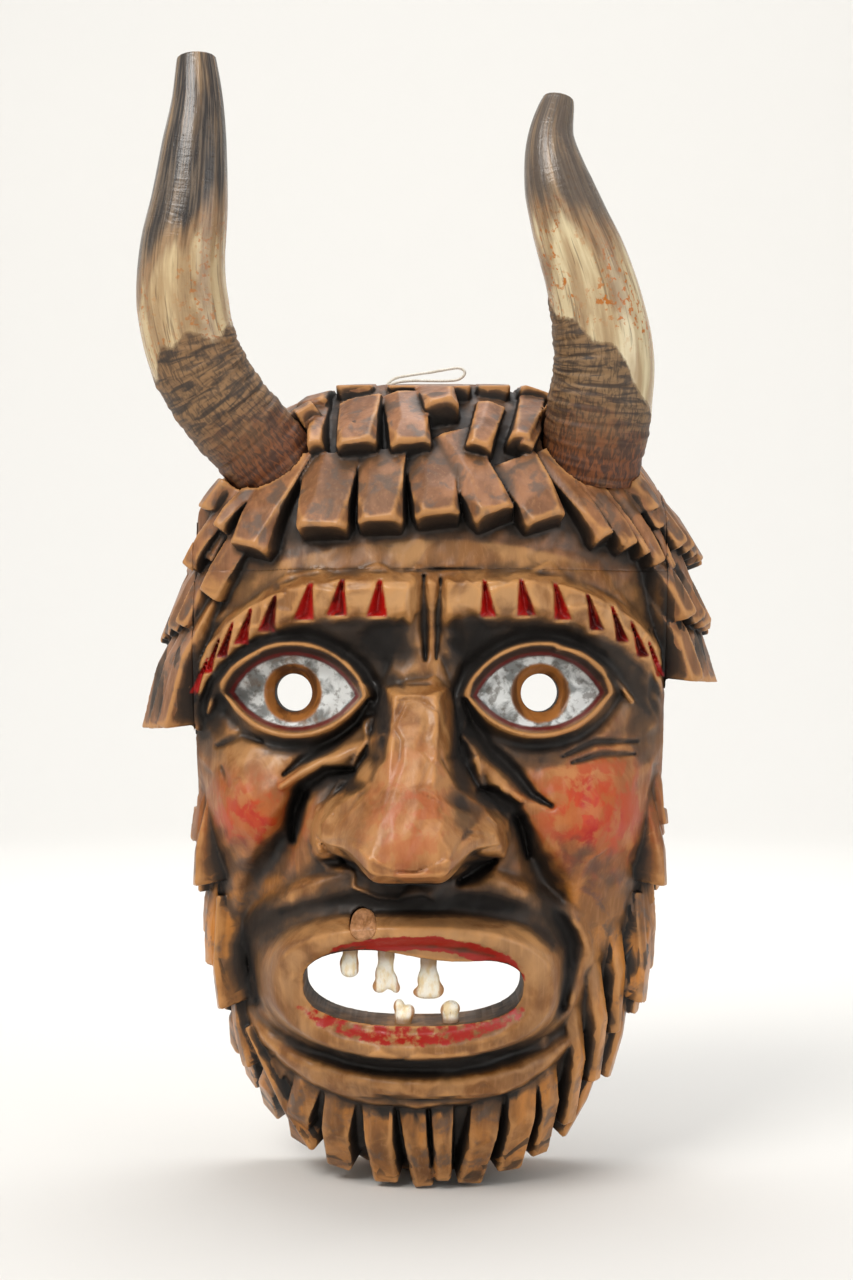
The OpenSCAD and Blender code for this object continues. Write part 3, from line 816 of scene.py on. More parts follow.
# The same along lines: points, width, strength
STAIN_AND_SHADE_LINES = [
    ([(-52, 6), (-70, 5), (-84, -8), (-90, -36)], 8, 1.0),
    ([(-90, -30), (-108, -52), (-122, -80), (-128, -112), (-116, -148)], 15, 1.1),
    ([(34, -8), (54, -18), (63, -42), (78, -74), (94, -112), (84, -150)], 12, 1.1),
    ([(-36, 50), (-52, 34), (-80, 14)], 5, 0.6),
    ([(22, 54), (30, 36), (48, 12), (72, -12)], 7, 0.9),
    ([(-96, -84), (-60, -72), (-20, -72)], 7, 0.5),
    ([(20, -72), (58, -80), (78, -104)], 9, 0.8),
    ([(19, 46), (19, 12), (21, -18), (27, -40)], 8, 0.75),
    ([(-31, 60), (-31, 34), (-36, 6)], 6, 0.6),
]
# Painted highlights where light falls on the face, given like the places of stain and painted shade
PAINTED_HIGHLIGHT_SPOTS = [
    (-10, 8, 15, 46, 0.9), (-14, -36, 24, 16, 0.7), (-62, -30, 15, 15, 0.9),
    (30, -34, 18, 12, 0.6), (-10, 152, 110, 11, 0.8), (-108, 8, 12, 12, 0.9),
    (-116, -16, 30, 24, 0.6), (108, -14, 30, 26, 0.7), (-10, -92, 62, 11, 0.8),
    (-10, -160, 62, 8, 0.5), (-88, -118, 9, 26, 0.6), (66, -112, 9, 26, 0.5),
    (-62, 12, 26, 6, 0.7), (-6, 120, 14, 18, 0.6), (-36, 22, 8, 12, 0.6),
    (-48, -36, 12, 13, 0.8), (-118, 4, 20, 10, 0.6), (110, 6, 30, 6, 0.6),
]


def painted_highlight(x, z):
    total = sum(strength * bump(x - cx, z - cz, rx, rz)
                for cx, cz, rx, rz, strength in PAINTED_HIGHLIGHT_SPOTS)
    s = brow_step(x, z)
    # Painted highlight along the lit upper edge of the brows
    return total + 0.8 * ramp(-10, -6, s) * ramp(10, 5, s) * ramp(160, 150, np.abs(x))


# Stain and painted shade on the face, as a mask
def stain_and_shade(x, z):
    total = 0
    for cx, cz, rx, rz, strength in STAIN_AND_SHADE_SPOTS:
        total = total + strength * bump(x - cx, z - cz, rx, rz)
    for points, width, strength in STAIN_AND_SHADE_LINES:
        total = total - groove(x, z, points, width, strength)
    # Painted shade round each eye's lids, much darker above the eye under the brow
    for eye in EYES:
        gap = almond(x, z, eye) - lid_crest(z, eye[1])
        rim = np.exp(-((gap - 1) / 5) ** 2)
        total = total + rim * (0.45 + 1.5 * ramp(0, 14, z - eye[1]))
    s = brow_step(x, z)
    # A band of painted shade under the brows
    band = ramp(-11, -20, s) * ramp(-46, -28, s) * ramp(166, 150, np.abs(x))
    return total + 0.75 * band * ramp(8, 18, np.abs(x - BROW_X))


def paint_wood(piece, carving, base, cavity_fine, cavity_broad, coarse_axes):
    """Where the stain has gathered, where shade and highlights are painted, and where paint was
    brushed on, per vertex.
    """
    mesh = piece.data
    p = vertex_vectors(mesh, "co") / MM
    n = vertex_vectors(mesh, "normal")
    x, y, z = p.T
    fine = sample(cavity_fine, coarse_axes, p)
    broad = sample(cavity_broad, coarse_axes, p)
    slope = np.stack([sample(base, carving.axes, p + step) - sample(base, carving.axes, p - step)
                      for step in 3.0 * np.eye(3)], -1)
    slope /= np.maximum(np.linalg.norm(slope, axis=1), 1e-3)[:, None]
    inside = ramp(4, 0, -y - np.maximum(0, hollow_depth(x, z)) - 2) * ramp(0.2, 0.5, n[:, 1])
    put_value(mesh, "fine", np.clip((fine - 0.5) * 2, -0.6, 1))
    put_value(mesh, "broad", np.clip((broad - 0.5) * 2, -1, 1))
    put_value(mesh, "steep", np.clip(1 - (n * slope).sum(1), 0, 1))
    # Undersides are made darker: painted shade from light above, with stain there too
    put_value(mesh, "under", np.clip(-n[:, 2], 0, 1))
    put_value(mesh, "back", np.clip(inside + ramp(-2, -0.5, y), 0, 1))
    front = ramp(-0.1, -0.4, n[:, 1])
    hairline = 160 - 0.0015 * x ** 2
    hair = ramp(hairline - 4, hairline, z) + ramp(152, 158, np.abs(x)) * ramp(30, 36, z)
    beard = beard_zone(x, z)
    put_value(mesh, "hair", np.clip(hair, 0, 1))
    put_value(mesh, "beard", beard)
    skin = (1 - np.clip(hair, 0, 1)) * (1 - beard)
    # The walls through the mouth and pupils are darkened: painted shade inside the openings
    aside = ramp(-0.75, -0.45, n[:, 1]) * ramp(-14, -24, y)
    openings = ramp(4.5, 2.0, mouth_outline(x, z))
    for cx, cz, _ in EYES:
        openings = openings + ramp(PUPIL_R + 3, PUPIL_R + 1, np.hypot(x - cx, z - cz))
    stain_and_shade_mask = stain_and_shade(x, z) * ramp(-40, -60, y) + 1.7 * openings * aside
    put_value(mesh, "stain_and_shade", np.clip(stain_and_shade_mask * skin, 0, 1.5))
    put_value(mesh, "painted_highlight", np.clip(painted_highlight(x, z) * skin * ramp(-50, -80, y), 0, 1))
    r_lip = np.hypot((x - MOUTH_X) / LIP_X, (z - MOUTH_Z) / LIP_Z)
    upper = ramp(0.99, 0.86, r_lip) * ramp(-76, -56, x) * ramp(-126, -118, z)
    lower = ramp(1.08, 0.96, r_lip) * ramp(-134, -142, z) * ramp(72, 56, x)
    lip_red = (upper + 0.62 * lower) * ramp(0.60, 0.68, r_lip)
    cheek_red = 1.1 * bump(x + 116, z + 24, 28, 22) + 1.2 * bump(x - 108, z + 20, 34, 34)
    nose_red = 0.35 * bump(x - NOSE_X, z + 16, 26, 40)
    notch_red = sum(notch(x, z, at, width) for at, width in NOTCHES)
    white, red_line, iris, lid = 0, 0, 0, 0
    for eye in EYES:
        a = almond(x, z, eye)
        r = np.hypot(x - eye[0], z - eye[1])
        white = white + ramp(0.3, -1.2, a) * ramp(18.5, 20, r)
        red_line = red_line + ramp(2.6, 1.2, a) * ramp(-1.2, 0.2, a)
        iris = iris + ramp(20, 18.5, r)
        lid = lid + ramp(1.8, 2.8, a) * ramp(lid_crest(z, eye[1]) - 1, lid_crest(z, eye[1]) - 2.2, a)
    painted = {"red": lip_red, "blush": cheek_red + nose_red, "notch": ramp(0.08, 0.3, notch_red),
               "white": white, "lidline": red_line, "iris": iris, "inner_lid": lid}
    for name, value in painted.items():
        put_value(mesh, name, np.clip(value * front, 0, 1))
    mesh.update()


# ------------------------------------------------------------------ materials

class Nodes:
    """A new material, with short names for the nodes that it is made of."""

    def __init__(self, name):
        self.material = bpy.data.materials.new(name)
        self.material.use_nodes = True
        self.tree = self.material.node_tree
        self.shader = self.tree.nodes["Principled BSDF"]

    def add(self, kind, **settings):
        node = self.tree.nodes.new(kind)
        for name, value in settings.items():
            setattr(node, name, value)
        return node

    def wire(self, socket, value):
        if hasattr(value, "is_output"):
            self.tree.links.new(value, socket)
        else:
            socket.default_value = value

    def value(self, name):
        return self.add("ShaderNodeAttribute", attribute_name=name).outputs["Fac"]

    def math(self, operation, a, b, clamp=False):
        node = self.add("ShaderNodeMath", operation=operation, use_clamp=clamp)
        self.wire(node.inputs[0], a)
        self.wire(node.inputs[1], b)
        return node.outputs[0]

    def times(self, a, b, clamp=False):
        return self.math("MULTIPLY", a, b, clamp)

    def plus(self, first, *others):
        for other in others:
            first = self.math("ADD", first, other)
        return first

    def swing(self, noise, reach):
        """A noise that runs from 0 to 1, moved to swing about 0."""
        return self.times(self.math("SUBTRACT", noise, 0.5), reach)

    def mix(self, share, a, b):
        node = self.add("ShaderNodeMix", data_type="RGBA", blend_type="MIX")
        self.wire(node.inputs["Factor"], share)
        self.wire(node.inputs["A"], a)
        self.wire(node.inputs["B"], b)
        return node.outputs["Result"]

    def step(self, value, low, high, to_low=0.0, to_high=1.0):
        node = self.add("ShaderNodeMapRange", interpolation_type="SMOOTHSTEP")
        self.wire(node.inputs["Value"], value)
        for name, number in (("From Min", low), ("From Max", high),
                             ("To Min", to_low), ("To Max", to_high)):
            node.inputs[name].default_value = number
        return node.outputs["Result"]

    def noise(self, scale, detail=4.0, stretch=(1, 1, 1), distort=0.0, rough=0.55, place=None):
        if place is None:
            place = self.add("ShaderNodeTexCoord").outputs["Object"]
        mapping = self.add("ShaderNodeMapping")
        mapping.inputs["Scale"].default_value = stretch
        self.wire(mapping.inputs["Vector"], place)
        node = self.add("ShaderNodeTexNoise")
        self.wire(node.inputs["Vector"], mapping.outputs["Vector"])
        for name, number in (("Scale", scale), ("Detail", detail),
                             ("Distortion", distort), ("Roughness", rough)):
            node.inputs[name].default_value = number
        return node.outputs["Fac"]

    def bump(self, height, strength, distance, under=None):
        node = self.add("ShaderNodeBump")
        node.inputs["Strength"].default_value = strength
        node.inputs["Distance"].default_value = distance
        self.wire(node.inputs["Height"], height)
        if under is not None:
            self.wire(node.inputs["Normal"], under)
        return node.outputs["Normal"]

    def finish(self, color, rough, normal=None, **constants):
        """Wires the shader up, sets its constant inputs and gives the material."""
        self.wire(self.shader.inputs["Base Color"], color)
        self.wire(self.shader.inputs["Roughness"], rough)
        if normal is not None:
            self.wire(self.shader.inputs["Normal"], normal)
        for name, number in constants.items():
            self.shader.inputs[name.replace("_", " ")].default_value = number
        return self.material


def rgb(red, green, blue):
    """A colour given as 0 to 255 on a screen, for a shader."""
    def linear(c):
        c = c / 255
        return c / 12.92 if c <= 0.04045 else ((c + 0.055) / 1.055) ** 2.4
    return (linear(red), linear(green), linear(blue), 1)


def carved_wood(name):
    """Stained and waxed carved wood, with dark stain in its hollows, painted shade and highlights,
    and paint.
    """
    n = Nodes(name)
    grain = n.noise(60, 6, (1.0, 1.0, 0.12), 0.6)
    fibre = n.noise(420, 3, (1.0, 1.0, 0.06))
    patches = n.noise(30, 5, (1, 1, 0.7), 0.8)
    dabs = n.noise(75, 4, (1, 1, 1), 0.4)
    blotch = n.noise(10, 3)
    hair, beard, blush = n.value("hair"), n.value("beard"), n.value("blush")
    fine, stain_and_shade, painted_highlight = n.value("fine"), n.value("stain_and_shade"), n.value("painted_highlight")
    locks = n.math("ADD", hair, beard, True)

    # The wood itself: skin, hair and beard, their grain, painted highlights where light falls, and
    # the edges that wear has bared
    color = n.mix(n.step(patches, 0.38, 0.64), rgb(168, 120, 72), rgb(128, 80, 34))
    color = n.mix(n.times(hair, 0.75), color,
                  n.mix(n.step(patches, 0.4, 0.62), rgb(150, 100, 70), rgb(116, 76, 50)))
    color = n.mix(n.times(beard, 0.8), color,
                  n.mix(n.step(patches, 0.36, 0.6), rgb(196, 124, 48), rgb(134, 88, 44)))
    color = n.mix(n.step(grain, 0.42, 0.68, 0, 0.5), color, rgb(84, 50, 26))
    color = n.mix(n.step(fibre, 0.5, 0.75, 0, 0.25), color, rgb(186, 136, 90))
    color = n.mix(n.times(n.step(dabs, 0.5, 0.66, 0, 0.7), locks), color, rgb(84, 74, 66))
    color = n.mix(n.step(blotch, 0.52, 0.68, 0, 0.35), color, rgb(90, 66, 42))
    # Painted highlights, lighter tan where light falls
    color = n.mix(n.times(painted_highlight, n.step(patches, 0.62, 0.40, 0.2, 0.85)),
                  color, rgb(196, 148, 98))
    wear = n.plus(fine, n.swing(dabs, 0.35))
    color = n.mix(n.step(wear, -0.12, -0.36, 0, 0.65), color, rgb(200, 144, 86))

    # Red brushed on the cheeks and lips
    color = n.mix(n.times(blush, 0.75, True), color, rgb(180, 84, 26))
    color = n.mix(n.times(blush, n.step(dabs, 0.44, 0.58), True),
                  color, n.mix(n.step(patches, 0.42, 0.6), rgb(168, 26, 10), rgb(182, 62, 18)))
    streaks = n.plus(n.value("red"), n.swing(n.noise(150, 4), 1.6))
    color = n.mix(n.step(streaks, 0.42, 0.72), color, rgb(156, 30, 18))

    # Dark stain with painted shade, in three coats from thin to thick: stain in the hollows, painted
    # shade under overhangs and in the openings, less where highlights are painted
    stain = n.plus(n.times(fine, 1.6), n.times(n.value("broad"), 1.7),
                   n.times(n.value("under"), 0.5), stain_and_shade, n.times(painted_highlight, -0.45),
                   n.times(locks, n.step(n.value("steep"), 0.3, 0.58, 0, 1.15)),
                   n.swing(dabs, 0.9))
    color = n.mix(n.step(stain, -0.1, 0.45, 0, 0.8), color, rgb(74, 52, 32))
    color = n.mix(n.step(stain, 0.35, 1.0, 0, 0.92), color, rgb(38, 29, 22))
    color = n.mix(n.step(stain, 0.95, 1.7, 0, 0.85), color, rgb(12, 10, 9))

    # The eyes, the notches of the brows and the bare back
    color = n.mix(n.times(n.value("inner_lid"), 0.85), color, rgb(52, 30, 20))
    paint = n.mix(n.step(dabs, 0.42, 0.6), rgb(214, 216, 214), rgb(128, 130, 128))
    paint = n.mix(n.step(n.noise(190, 4), 0.52, 0.66, 0, 0.6), paint, rgb(84, 74, 62))
    paint = n.mix(n.step(patches, 0.54, 0.66, 0, 0.85), paint, rgb(118, 86, 54))
    color = n.mix(n.value("white"), color, paint)
    ring = n.mix(n.step(grain, 0.4, 0.6), rgb(160, 100, 44), rgb(92, 52, 20))
    color = n.mix(n.times(n.value("iris"), 0.85), color, ring)
    color = n.mix(n.value("lidline"), color, rgb(100, 18, 14))
    color = n.mix(n.value("notch"), color,
                  n.mix(n.step(grain, 0.45, 0.6), rgb(166, 16, 10), rgb(84, 10, 8)))
    bare = n.mix(n.step(grain, 0.36, 0.68), rgb(146, 108, 74), rgb(118, 86, 58))
    color = n.mix(n.value("back"), color, bare)

    rough = n.plus(n.step(patches, 0.3, 0.7, 0.3, 0.5), n.step(stain, 0.3, 1.0, 0, 0.16),
                   n.step(stain_and_shade, 0.6, 1.3, 0, 0.3))
    relief = n.bump(n.noise(150, 5, (1, 1, 0.3)), 0.3, 0.0012)
    return n.finish(color, rough, n.bump(fibre, 0.2, 0.0006, relief),
                    Specular_IOR_Level=0.35, Coat_Weight=0.06, Coat_Roughness=0.3)


# ------------------------------------------------------------------ horns, teeth and cord

def put_vector(mesh, name, values):
    layer = mesh.attributes.new(name, "FLOAT_VECTOR", "POINT")
    layer.data.foreach_set("vector", np.asarray(values, np.float32).ravel())


HORN_RINGS, HORN_SIDES, CAP_RINGS = 300, 80, 9


def build_horn(name, path, radius, taper, seed, skin_edge, dark_edge):
    """A horn: growth rings on its rough skin, bare horn above, and a blunt worn tip."""
    rng = np.random.default_rng(seed)
    t = np.linspace(0, 1, HORN_RINGS)
    centre = spline(path, t)
    along = np.gradient(centre, axis=0)
    length = np.concatenate([[0], np.cumsum(np.linalg.norm(np.diff(centre, axis=0), axis=1))])
    along /= np.linalg.norm(along, axis=1)[:, None]
    across = np.cross(along, (0, 1, 0.02))
    across /= np.linalg.norm(across, axis=1)[:, None]
    beside = np.cross(along, across)
    angle = np.linspace(0, 2 * math.pi, HORN_SIDES, endpoint=False)
    a, s = angle[None, :], length[:, None]
    ring = across[:, None] * np.cos(a)[..., None] + beside[:, None] * np.sin(a)[..., None]
    girth = (radius * table(taper)(t))[:, None]
    rest = centre[:, None] + ring * girth[..., None]
    rough = ramp(6, -6, rest[..., 2] - skin_edge(ring[..., 0])
                 - 5 * np.sin(3 * a + seed) - 3 * np.sin(7 * a + 2))
    waves = 0
    for wavelength, size in ((4.1, 0.20), (6.3, 0.28), (10.7, 0.38), (23.0, 0.5)):
        sway = rng.uniform(0.6, 1.6) * np.sin(a + rng.uniform(0, 6)) + 0.5 * np.sin(3 * a)
        waves = waves + size * np.sin(2 * math.pi * s / wavelength + sway + rng.uniform(0, 6))
    flutes = 0.18 * np.sin(17 * a + 2 * np.sin(s / 40)) + 0.12 * np.sin(31 * a + 3)
    oval = 1 + 0.035 * np.cos(2 * a + 0.8)
    r = girth * oval + rough * (0.6 + 0.62 * waves) + (1 - rough) * 0.4 * flutes
    points = centre[:, None] + ring * r[..., None]
    tip_r = r[-1]
    for k in range(1, CAP_RINGS + 1):
        turn = k / CAP_RINGS
        edge = max(0.0, math.cos(turn * math.pi / 2)) ** 0.35 if k < CAP_RINGS else 0.0
        rise = 2.6 * math.sin(turn * math.pi / 2) + 0.4 * math.sin(6 * turn)
        cap = centre[-1] + along[-1] * rise + ring[-1] * (tip_r * edge)[:, None]
        points = np.concatenate([points, cap[None]])
    count = len(points)
    faces = ring_faces(count, HORN_SIDES) + [tuple(range(HORN_SIDES))[::-1]]
    piece = new_piece(name, points.reshape(-1, 3) * MM, faces)
    mesh = piece.data
    reach = np.concatenate([length, np.full(CAP_RINGS, length[-1])])
    flow = np.stack([np.broadcast_to(radius * np.cos(a), (count, HORN_SIDES)),
                     np.broadcast_to(radius * np.sin(a), (count, HORN_SIDES)),
                     np.broadcast_to(reach[:, None], (count, HORN_SIDES))], -1) * MM
    put_vector(mesh, "flow", flow.reshape(-1, 3))
    rough_all = np.concatenate([rough, np.zeros((CAP_RINGS, HORN_SIDES))])
    put_value(mesh, "rough", rough_all.ravel())
    lean = np.concatenate([ring[..., 0], np.zeros((CAP_RINGS, HORN_SIDES))])
    dark = ramp(-24, 24, points[..., 2] - dark_edge(lean))
    put_value(mesh, "dark", dark.ravel())
    ends = np.zeros((count, HORN_SIDES))
    ends[HORN_RINGS + 2:] = 1
    put_value(mesh, "cut", ends.ravel())
    put_value(mesh, "base", ramp(70, 10, np.broadcast_to(reach[:, None], ends.shape)).ravel())
    return piece


def smooth_union(a, b, k=1.6):
    h = np.clip(0.5 + 0.5 * (b - a) / k, 0, 1)
    return b + (a - b) * h - k * h * (1 - h)


# Teeth as blobs in a tooth's own box: centre x, height from 0 at the lip to 1 at the
# end, half width x, half depth y, half height, all as shares of width and height
TEETH = {
    "tooth_upper_left": [(0.05, 0.0, 0.36, 0.5, 0.45), (0.0, 0.5, 0.44, 0.62, 0.42),
                         (0.02, 0.78, 0.4, 0.55, 0.24)],
    "tooth_upper_middle": [(0.0, 0.0, 0.31, 0.45, 0.5), (-0.06, 0.55, 0.34, 0.5, 0.35),
                           (-0.24, 0.84, 0.25, 0.4, 0.17), (0.22, 0.72, 0.2, 0.38, 0.22),
                           (0.36, 0.88, 0.14, 0.32, 0.13)],
    "tooth_upper_right": [(0.0, 0.0, 0.27, 0.45, 0.45), (0.0, 0.5, 0.36, 0.52, 0.36),
                          (-0.08, 0.82, 0.42, 0.5, 0.18), (0.2, 0.76, 0.3, 0.48, 0.22)],
    "tooth_lower_left": [(0.0, 0.1, 0.4, 0.6, 0.5), (-0.2, 0.7, 0.26, 0.5, 0.36),
                         (0.24, 0.5, 0.28, 0.5, 0.3), (0.05, 0.3, 0.42, 0.62, 0.3)],
    "tooth_lower_right": [(0.0, 0.1, 0.38, 0.55, 0.5), (0.02, 0.6, 0.42, 0.6, 0.4),
                          (-0.22, 0.5, 0.24, 0.5, 0.28)],
}
TOOTH_ROOT = 14


def build_tooth(name, blobs):
    low, high = [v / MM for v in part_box(name)]
    down = "upper" in name
    lip = high.z - TOOTH_ROOT if down else low.z + TOOTH_ROOT
    height = (lip - low.z) if down else (high.z - lip)
    side = -1 if down else 1
    width = high.x - low.x
    middle = ((high.x + low.x) / 2, (high.y + low.y) / 2)
    step = 0.33
    axes = [np.arange(low.x - 3, high.x + 3, step), np.arange(low.y - 3, high.y + 3, step),
            np.arange(low.z - 2, high.z + 2, step)]
    x, y, z = axes[0][:, None, None], axes[1][None, :, None], axes[2][None, None, :]
    field = None
    for cx, rise, rx, ry, rz in blobs:
        dx = (x - middle[0] - cx * width) / (rx * width)
        dy = (y - middle[1]) / (ry * 8)
        dz = (z - lip - side * rise * height) / (rz * height)
        blob = (np.sqrt(dx * dx + dy * dy + dz * dz) - 1) * min(rx * width, ry * 8, rz * height)
        field = blob if field is None else smooth_union(field, blob)
    piece = mesh_from_field("carved_" + name, field, axes)
    mesh = piece.data
    p = vertex_vectors(mesh, "co") / MM
    put_value(mesh, "rise", np.clip((p[:, 2] - lip) * side / height, 0, 1))
    put_value(mesh, "rim", ramp(0.55, 0.98, np.abs(p[:, 0] - middle[0]) / (0.42 * width)))
    return piece


def build_plug(depth, axes):
    """A round wooden plug whose end was carved flush with the lip."""
    px, pz = PLUG_AT
    steps, sides = 7, 40
    r = (PLUG_R + 0.3) * np.arange(1, steps + 1)[:, None] / steps
    a = np.linspace(0, 2 * math.pi, sides, endpoint=False)
    flat = np.stack([px + r * np.cos(a), 0 * r * a, pz + r * np.sin(a)], -1).reshape(-1, 3)
    ix = np.clip(((flat[:, 0] - axes[0][0]) / VOXEL).round().astype(int), 0, len(axes[0]) - 1)
    iz = np.clip(((flat[:, 2] - axes[2][0]) / VOXEL).round().astype(int), 0, len(axes[2]) - 1)
    flat[:, 1] = -(depth[ix, iz] + 0.3)
    flat[-sides:, 1] += 0.7
    back = flat[-sides:].copy()
    back[:, 1] = PLUG_BACK - 1
    faces = ring_faces(steps + 1, sides)
    faces.append(tuple(range(sides))[::-1])
    faces.append(tuple(steps * sides + j for j in range(sides)))
    return new_piece("carved_lip_plug", np.concatenate([flat, back]) * MM, faces)


# The cord's route, as in the frame: out of the screw eye, up the groove, round a loop
CORD_ROUTE = [(-31, -14, 197), (-33, -15, 193), (-36, -15, 192), (-39, -15, 195),
              (-38, -10, 203), (-37, -4, 214), (-37, -4, 235), (-36, -4, 254),
              (-33, -4, 266), (-26, -4, 272), (-14, -4, 274), (0, -4, 274), (12, -4, 274),
              (20, -4, 275), (24, -4, 278), (24, -4, 281), (20, -4, 283), (12, -4, 282),
              (0, -3, 280), (-14, -3, 278), (-26, -3, 275), (-32, -3, 267),
              (-34, -3, 254), (-34, -4, 235), (-34, -4, 214), (-33, -9, 203),
              (-31, -13, 200)]
CORD_D = 2


def build_cord():
    curve = bpy.data.curves.new("cord", "CURVE")
    curve.dimensions = "3D"
    curve.bevel_depth = CORD_D / 2 * MM
    curve.bevel_resolution = 4
    points = spline(CORD_ROUTE, np.linspace(0, 1, 181)) * MM
    line = curve.splines.new("POLY")
    line.points.add(len(points) - 1)
    for point, place in zip(line.points, points):
        point.co = (*place, 1)
    cord = bpy.data.objects.new("cord", curve)
    bpy.context.scene.collection.objects.link(cord)
    length = float(np.linalg.norm(np.diff(points, axis=0), axis=1).sum())
    return cord, tuple(points[0]), length


# ------------------------------------------------------------------ other materials

def horn_material(name, cream, tip, brown, spots):
    """Rough ringed skin at the base, then worn cream horn that turns dark at the tip."""
    n = Nodes(name)
    flow = n.add("ShaderNodeAttribute", attribute_name="flow").outputs["Vector"]

    def streaks(scale, stretch, detail=5.0, distort=0.0):
        return n.noise(scale, detail, stretch, distort, 0.5, flow)

    long_grain = streaks(110, (1, 1, 0.14))
    hair_grain = streaks(520, (1, 1, 0.06), 3)
    rings = streaks(150, (0.3, 0.3, 1.5), 7, 1.2)
    fibres = streaks(420, (1, 1, 0.35), 4, 0.8)
    blotch = streaks(30, (1, 1, 0.6), 5)
    speck = streaks(300, (1, 1, 1), 3)

    color = n.mix(n.step(long_grain, 0.36, 0.60, 0, 0.8), cream, rgb(164, 134, 96))
    color = n.mix(n.step(blotch, 0.50, 0.66, 0, 0.7), color, rgb(128, 94, 58))
    color = n.mix(n.step(hair_grain, 0.56, 0.68, 0, 0.55), color, rgb(86, 62, 40))
    spot = n.times(n.step(speck, 0.54, 0.64), n.step(blotch, 0.42, 0.56), True)
    color = n.mix(n.times(spot, spots), color, rgb(176, 100, 24))
    edge = n.plus(n.value("dark"), n.swing(long_grain, 1.5), n.swing(blotch, 1.0))
    grey = n.mix(n.step(hair_grain, 0.4, 0.7), tip, rgb(104, 92, 80))
    halfway = n.mix(n.step(hair_grain, 0.35, 0.65), rgb(104, 78, 56), rgb(156, 124, 92))
    color = n.mix(n.step(edge, 0.0, 0.5, 0, 0.85), color, halfway)
    color = n.mix(n.step(edge, 0.5, 1.1, 0, 0.95), color, grey)

    skin = n.mix(n.step(rings, 0.36, 0.60), rgb(66, 50, 36), brown)
    skin = n.mix(n.step(fibres, 0.46, 0.62, 0, 0.6), skin, rgb(44, 34, 27))
    skin = n.mix(n.step(blotch, 0.50, 0.68, 0, 0.6), skin, rgb(142, 108, 70))
    red = n.mix(n.step(fibres, 0.35, 0.6), rgb(120, 66, 28), rgb(66, 36, 20))
    skin = n.mix(n.times(n.value("base"), n.step(blotch, 0.3, 0.52), True), skin, red)
    peel = n.plus(n.value("rough"), n.swing(blotch, 1.3), n.swing(speck, 0.7))
    color = n.mix(n.step(peel, 0.36, 0.66), color, skin)
    line = n.times(n.step(peel, 0.22, 0.42), n.step(peel, 0.66, 0.5))
    color = n.mix(n.times(line, 0.55), color, rgb(96, 66, 36))
    worn_end = n.mix(n.step(speck, 0.4, 0.6), rgb(150, 120, 92), rgb(96, 76, 58))
    color = n.mix(n.value("cut"), color, worn_end)

    gloss = n.plus(n.step(peel, 0.3, 0.6, 0.24, 0.58), n.swing(blotch, 0.4))
    relief = n.bump(fibres, 0.3, 0.0006, n.bump(hair_grain, 0.25, 0.0005))
    return n.finish(color, gloss, n.bump(rings, 0.3, 0.0010, relief), Subsurface_Weight=0.04,
                    Subsurface_Radius=(0.01, 0.006, 0.003), Subsurface_Scale=0.5)


def tooth_material():
    n = Nodes("old_tooth")
    cloud = n.noise(220, 4, (1, 1, 0.5))
    crack = n.noise(900, 3, (1, 1, 0.15))
    color = n.mix(n.step(cloud, 0.4, 0.65), rgb(250, 243, 226), rgb(236, 214, 168))
    stain = n.plus(n.times(n.value("rim"), 0.9), n.swing(cloud, 0.9))
    color = n.mix(n.step(stain, 0.35, 0.95, 0, 0.85), color, rgb(176, 112, 44))
    color = n.mix(n.step(crack, 0.62, 0.72, 0, 0.5), color, rgb(150, 96, 44))
    root = n.step(n.value("rise"), 0.32, 0.02)
    color = n.mix(n.times(root, 0.75), color, rgb(148, 98, 50))
    return n.finish(color, n.step(cloud, 0.3, 0.7, 0.24, 0.42), n.bump(crack, 0.2, 0.0003),
                    Subsurface_Weight=0.08, Subsurface_Radius=(0.004, 0.003, 0.002),
                    Subsurface_Scale=0.5)


def plain_wood(name, light, dark):
    n = Nodes(name)
    grain = n.noise(140, 5, (1, 1, 0.08), 0.4)
    pores = n.noise(800, 2, (1, 1, 0.05))
    color = n.mix(n.step(grain, 0.38, 0.64), light, dark)
    color = n.mix(n.step(pores, 0.58, 0.68, 0, 0.5), color, rgb(88, 58, 36))
    return n.finish(color, n.step(grain, 0.3, 0.7, 0.5, 0.7), n.bump(pores, 0.3, 0.0004))


def plug_material():
    n = Nodes("plug_end_grain")
    grain = n.noise(300, 4, (1, 0.3, 1), 0.3)
    cloud = n.noise(90, 3)
    color = n.mix(n.step(grain, 0.4, 0.62), rgb(186, 134, 92), rgb(156, 108, 66))
    color = n.mix(n.step(cloud, 0.5, 0.7, 0, 0.5), color, rgb(140, 100, 70))
    return n.finish(color, n.step(cloud, 0.3, 0.7, 0.4, 0.58), n.bump(grain, 0.25, 0.0004))


def worn_steel():
    n = Nodes("worn_steel")
    rust = n.noise(240, 5, (1, 1, 1), 0.5)
    scratch = n.noise(1400, 2, (1, 0.1, 1))
    color = n.mix(n.step(rust, 0.52, 0.68), rgb(150, 148, 144), rgb(104, 66, 42))
    n.wire(n.shader.inputs["Metallic"], n.step(rust, 0.56, 0.68, 0.95, 0.2))
    return n.finish(color, n.step(rust, 0.45, 0.7, 0.32, 0.75), n.bump(scratch, 0.2, 0.0003))


def cord_material():
    n = Nodes("waxed_cord")
    fibre = n.noise(2200, 3, (1, 1, 0.5), 1.0)
    soil = n.noise(160, 3)
    color = n.mix(n.step(fibre, 0.35, 0.65), rgb(246, 243, 234), rgb(212, 206, 192))
    color = n.mix(n.step(soil, 0.5, 0.7, 0, 0.3), color, rgb(176, 162, 136))
    return n.finish(color, n.step(soil, 0.3, 0.7, 0.55, 0.8), n.bump(fibre, 0.6, 0.0004))


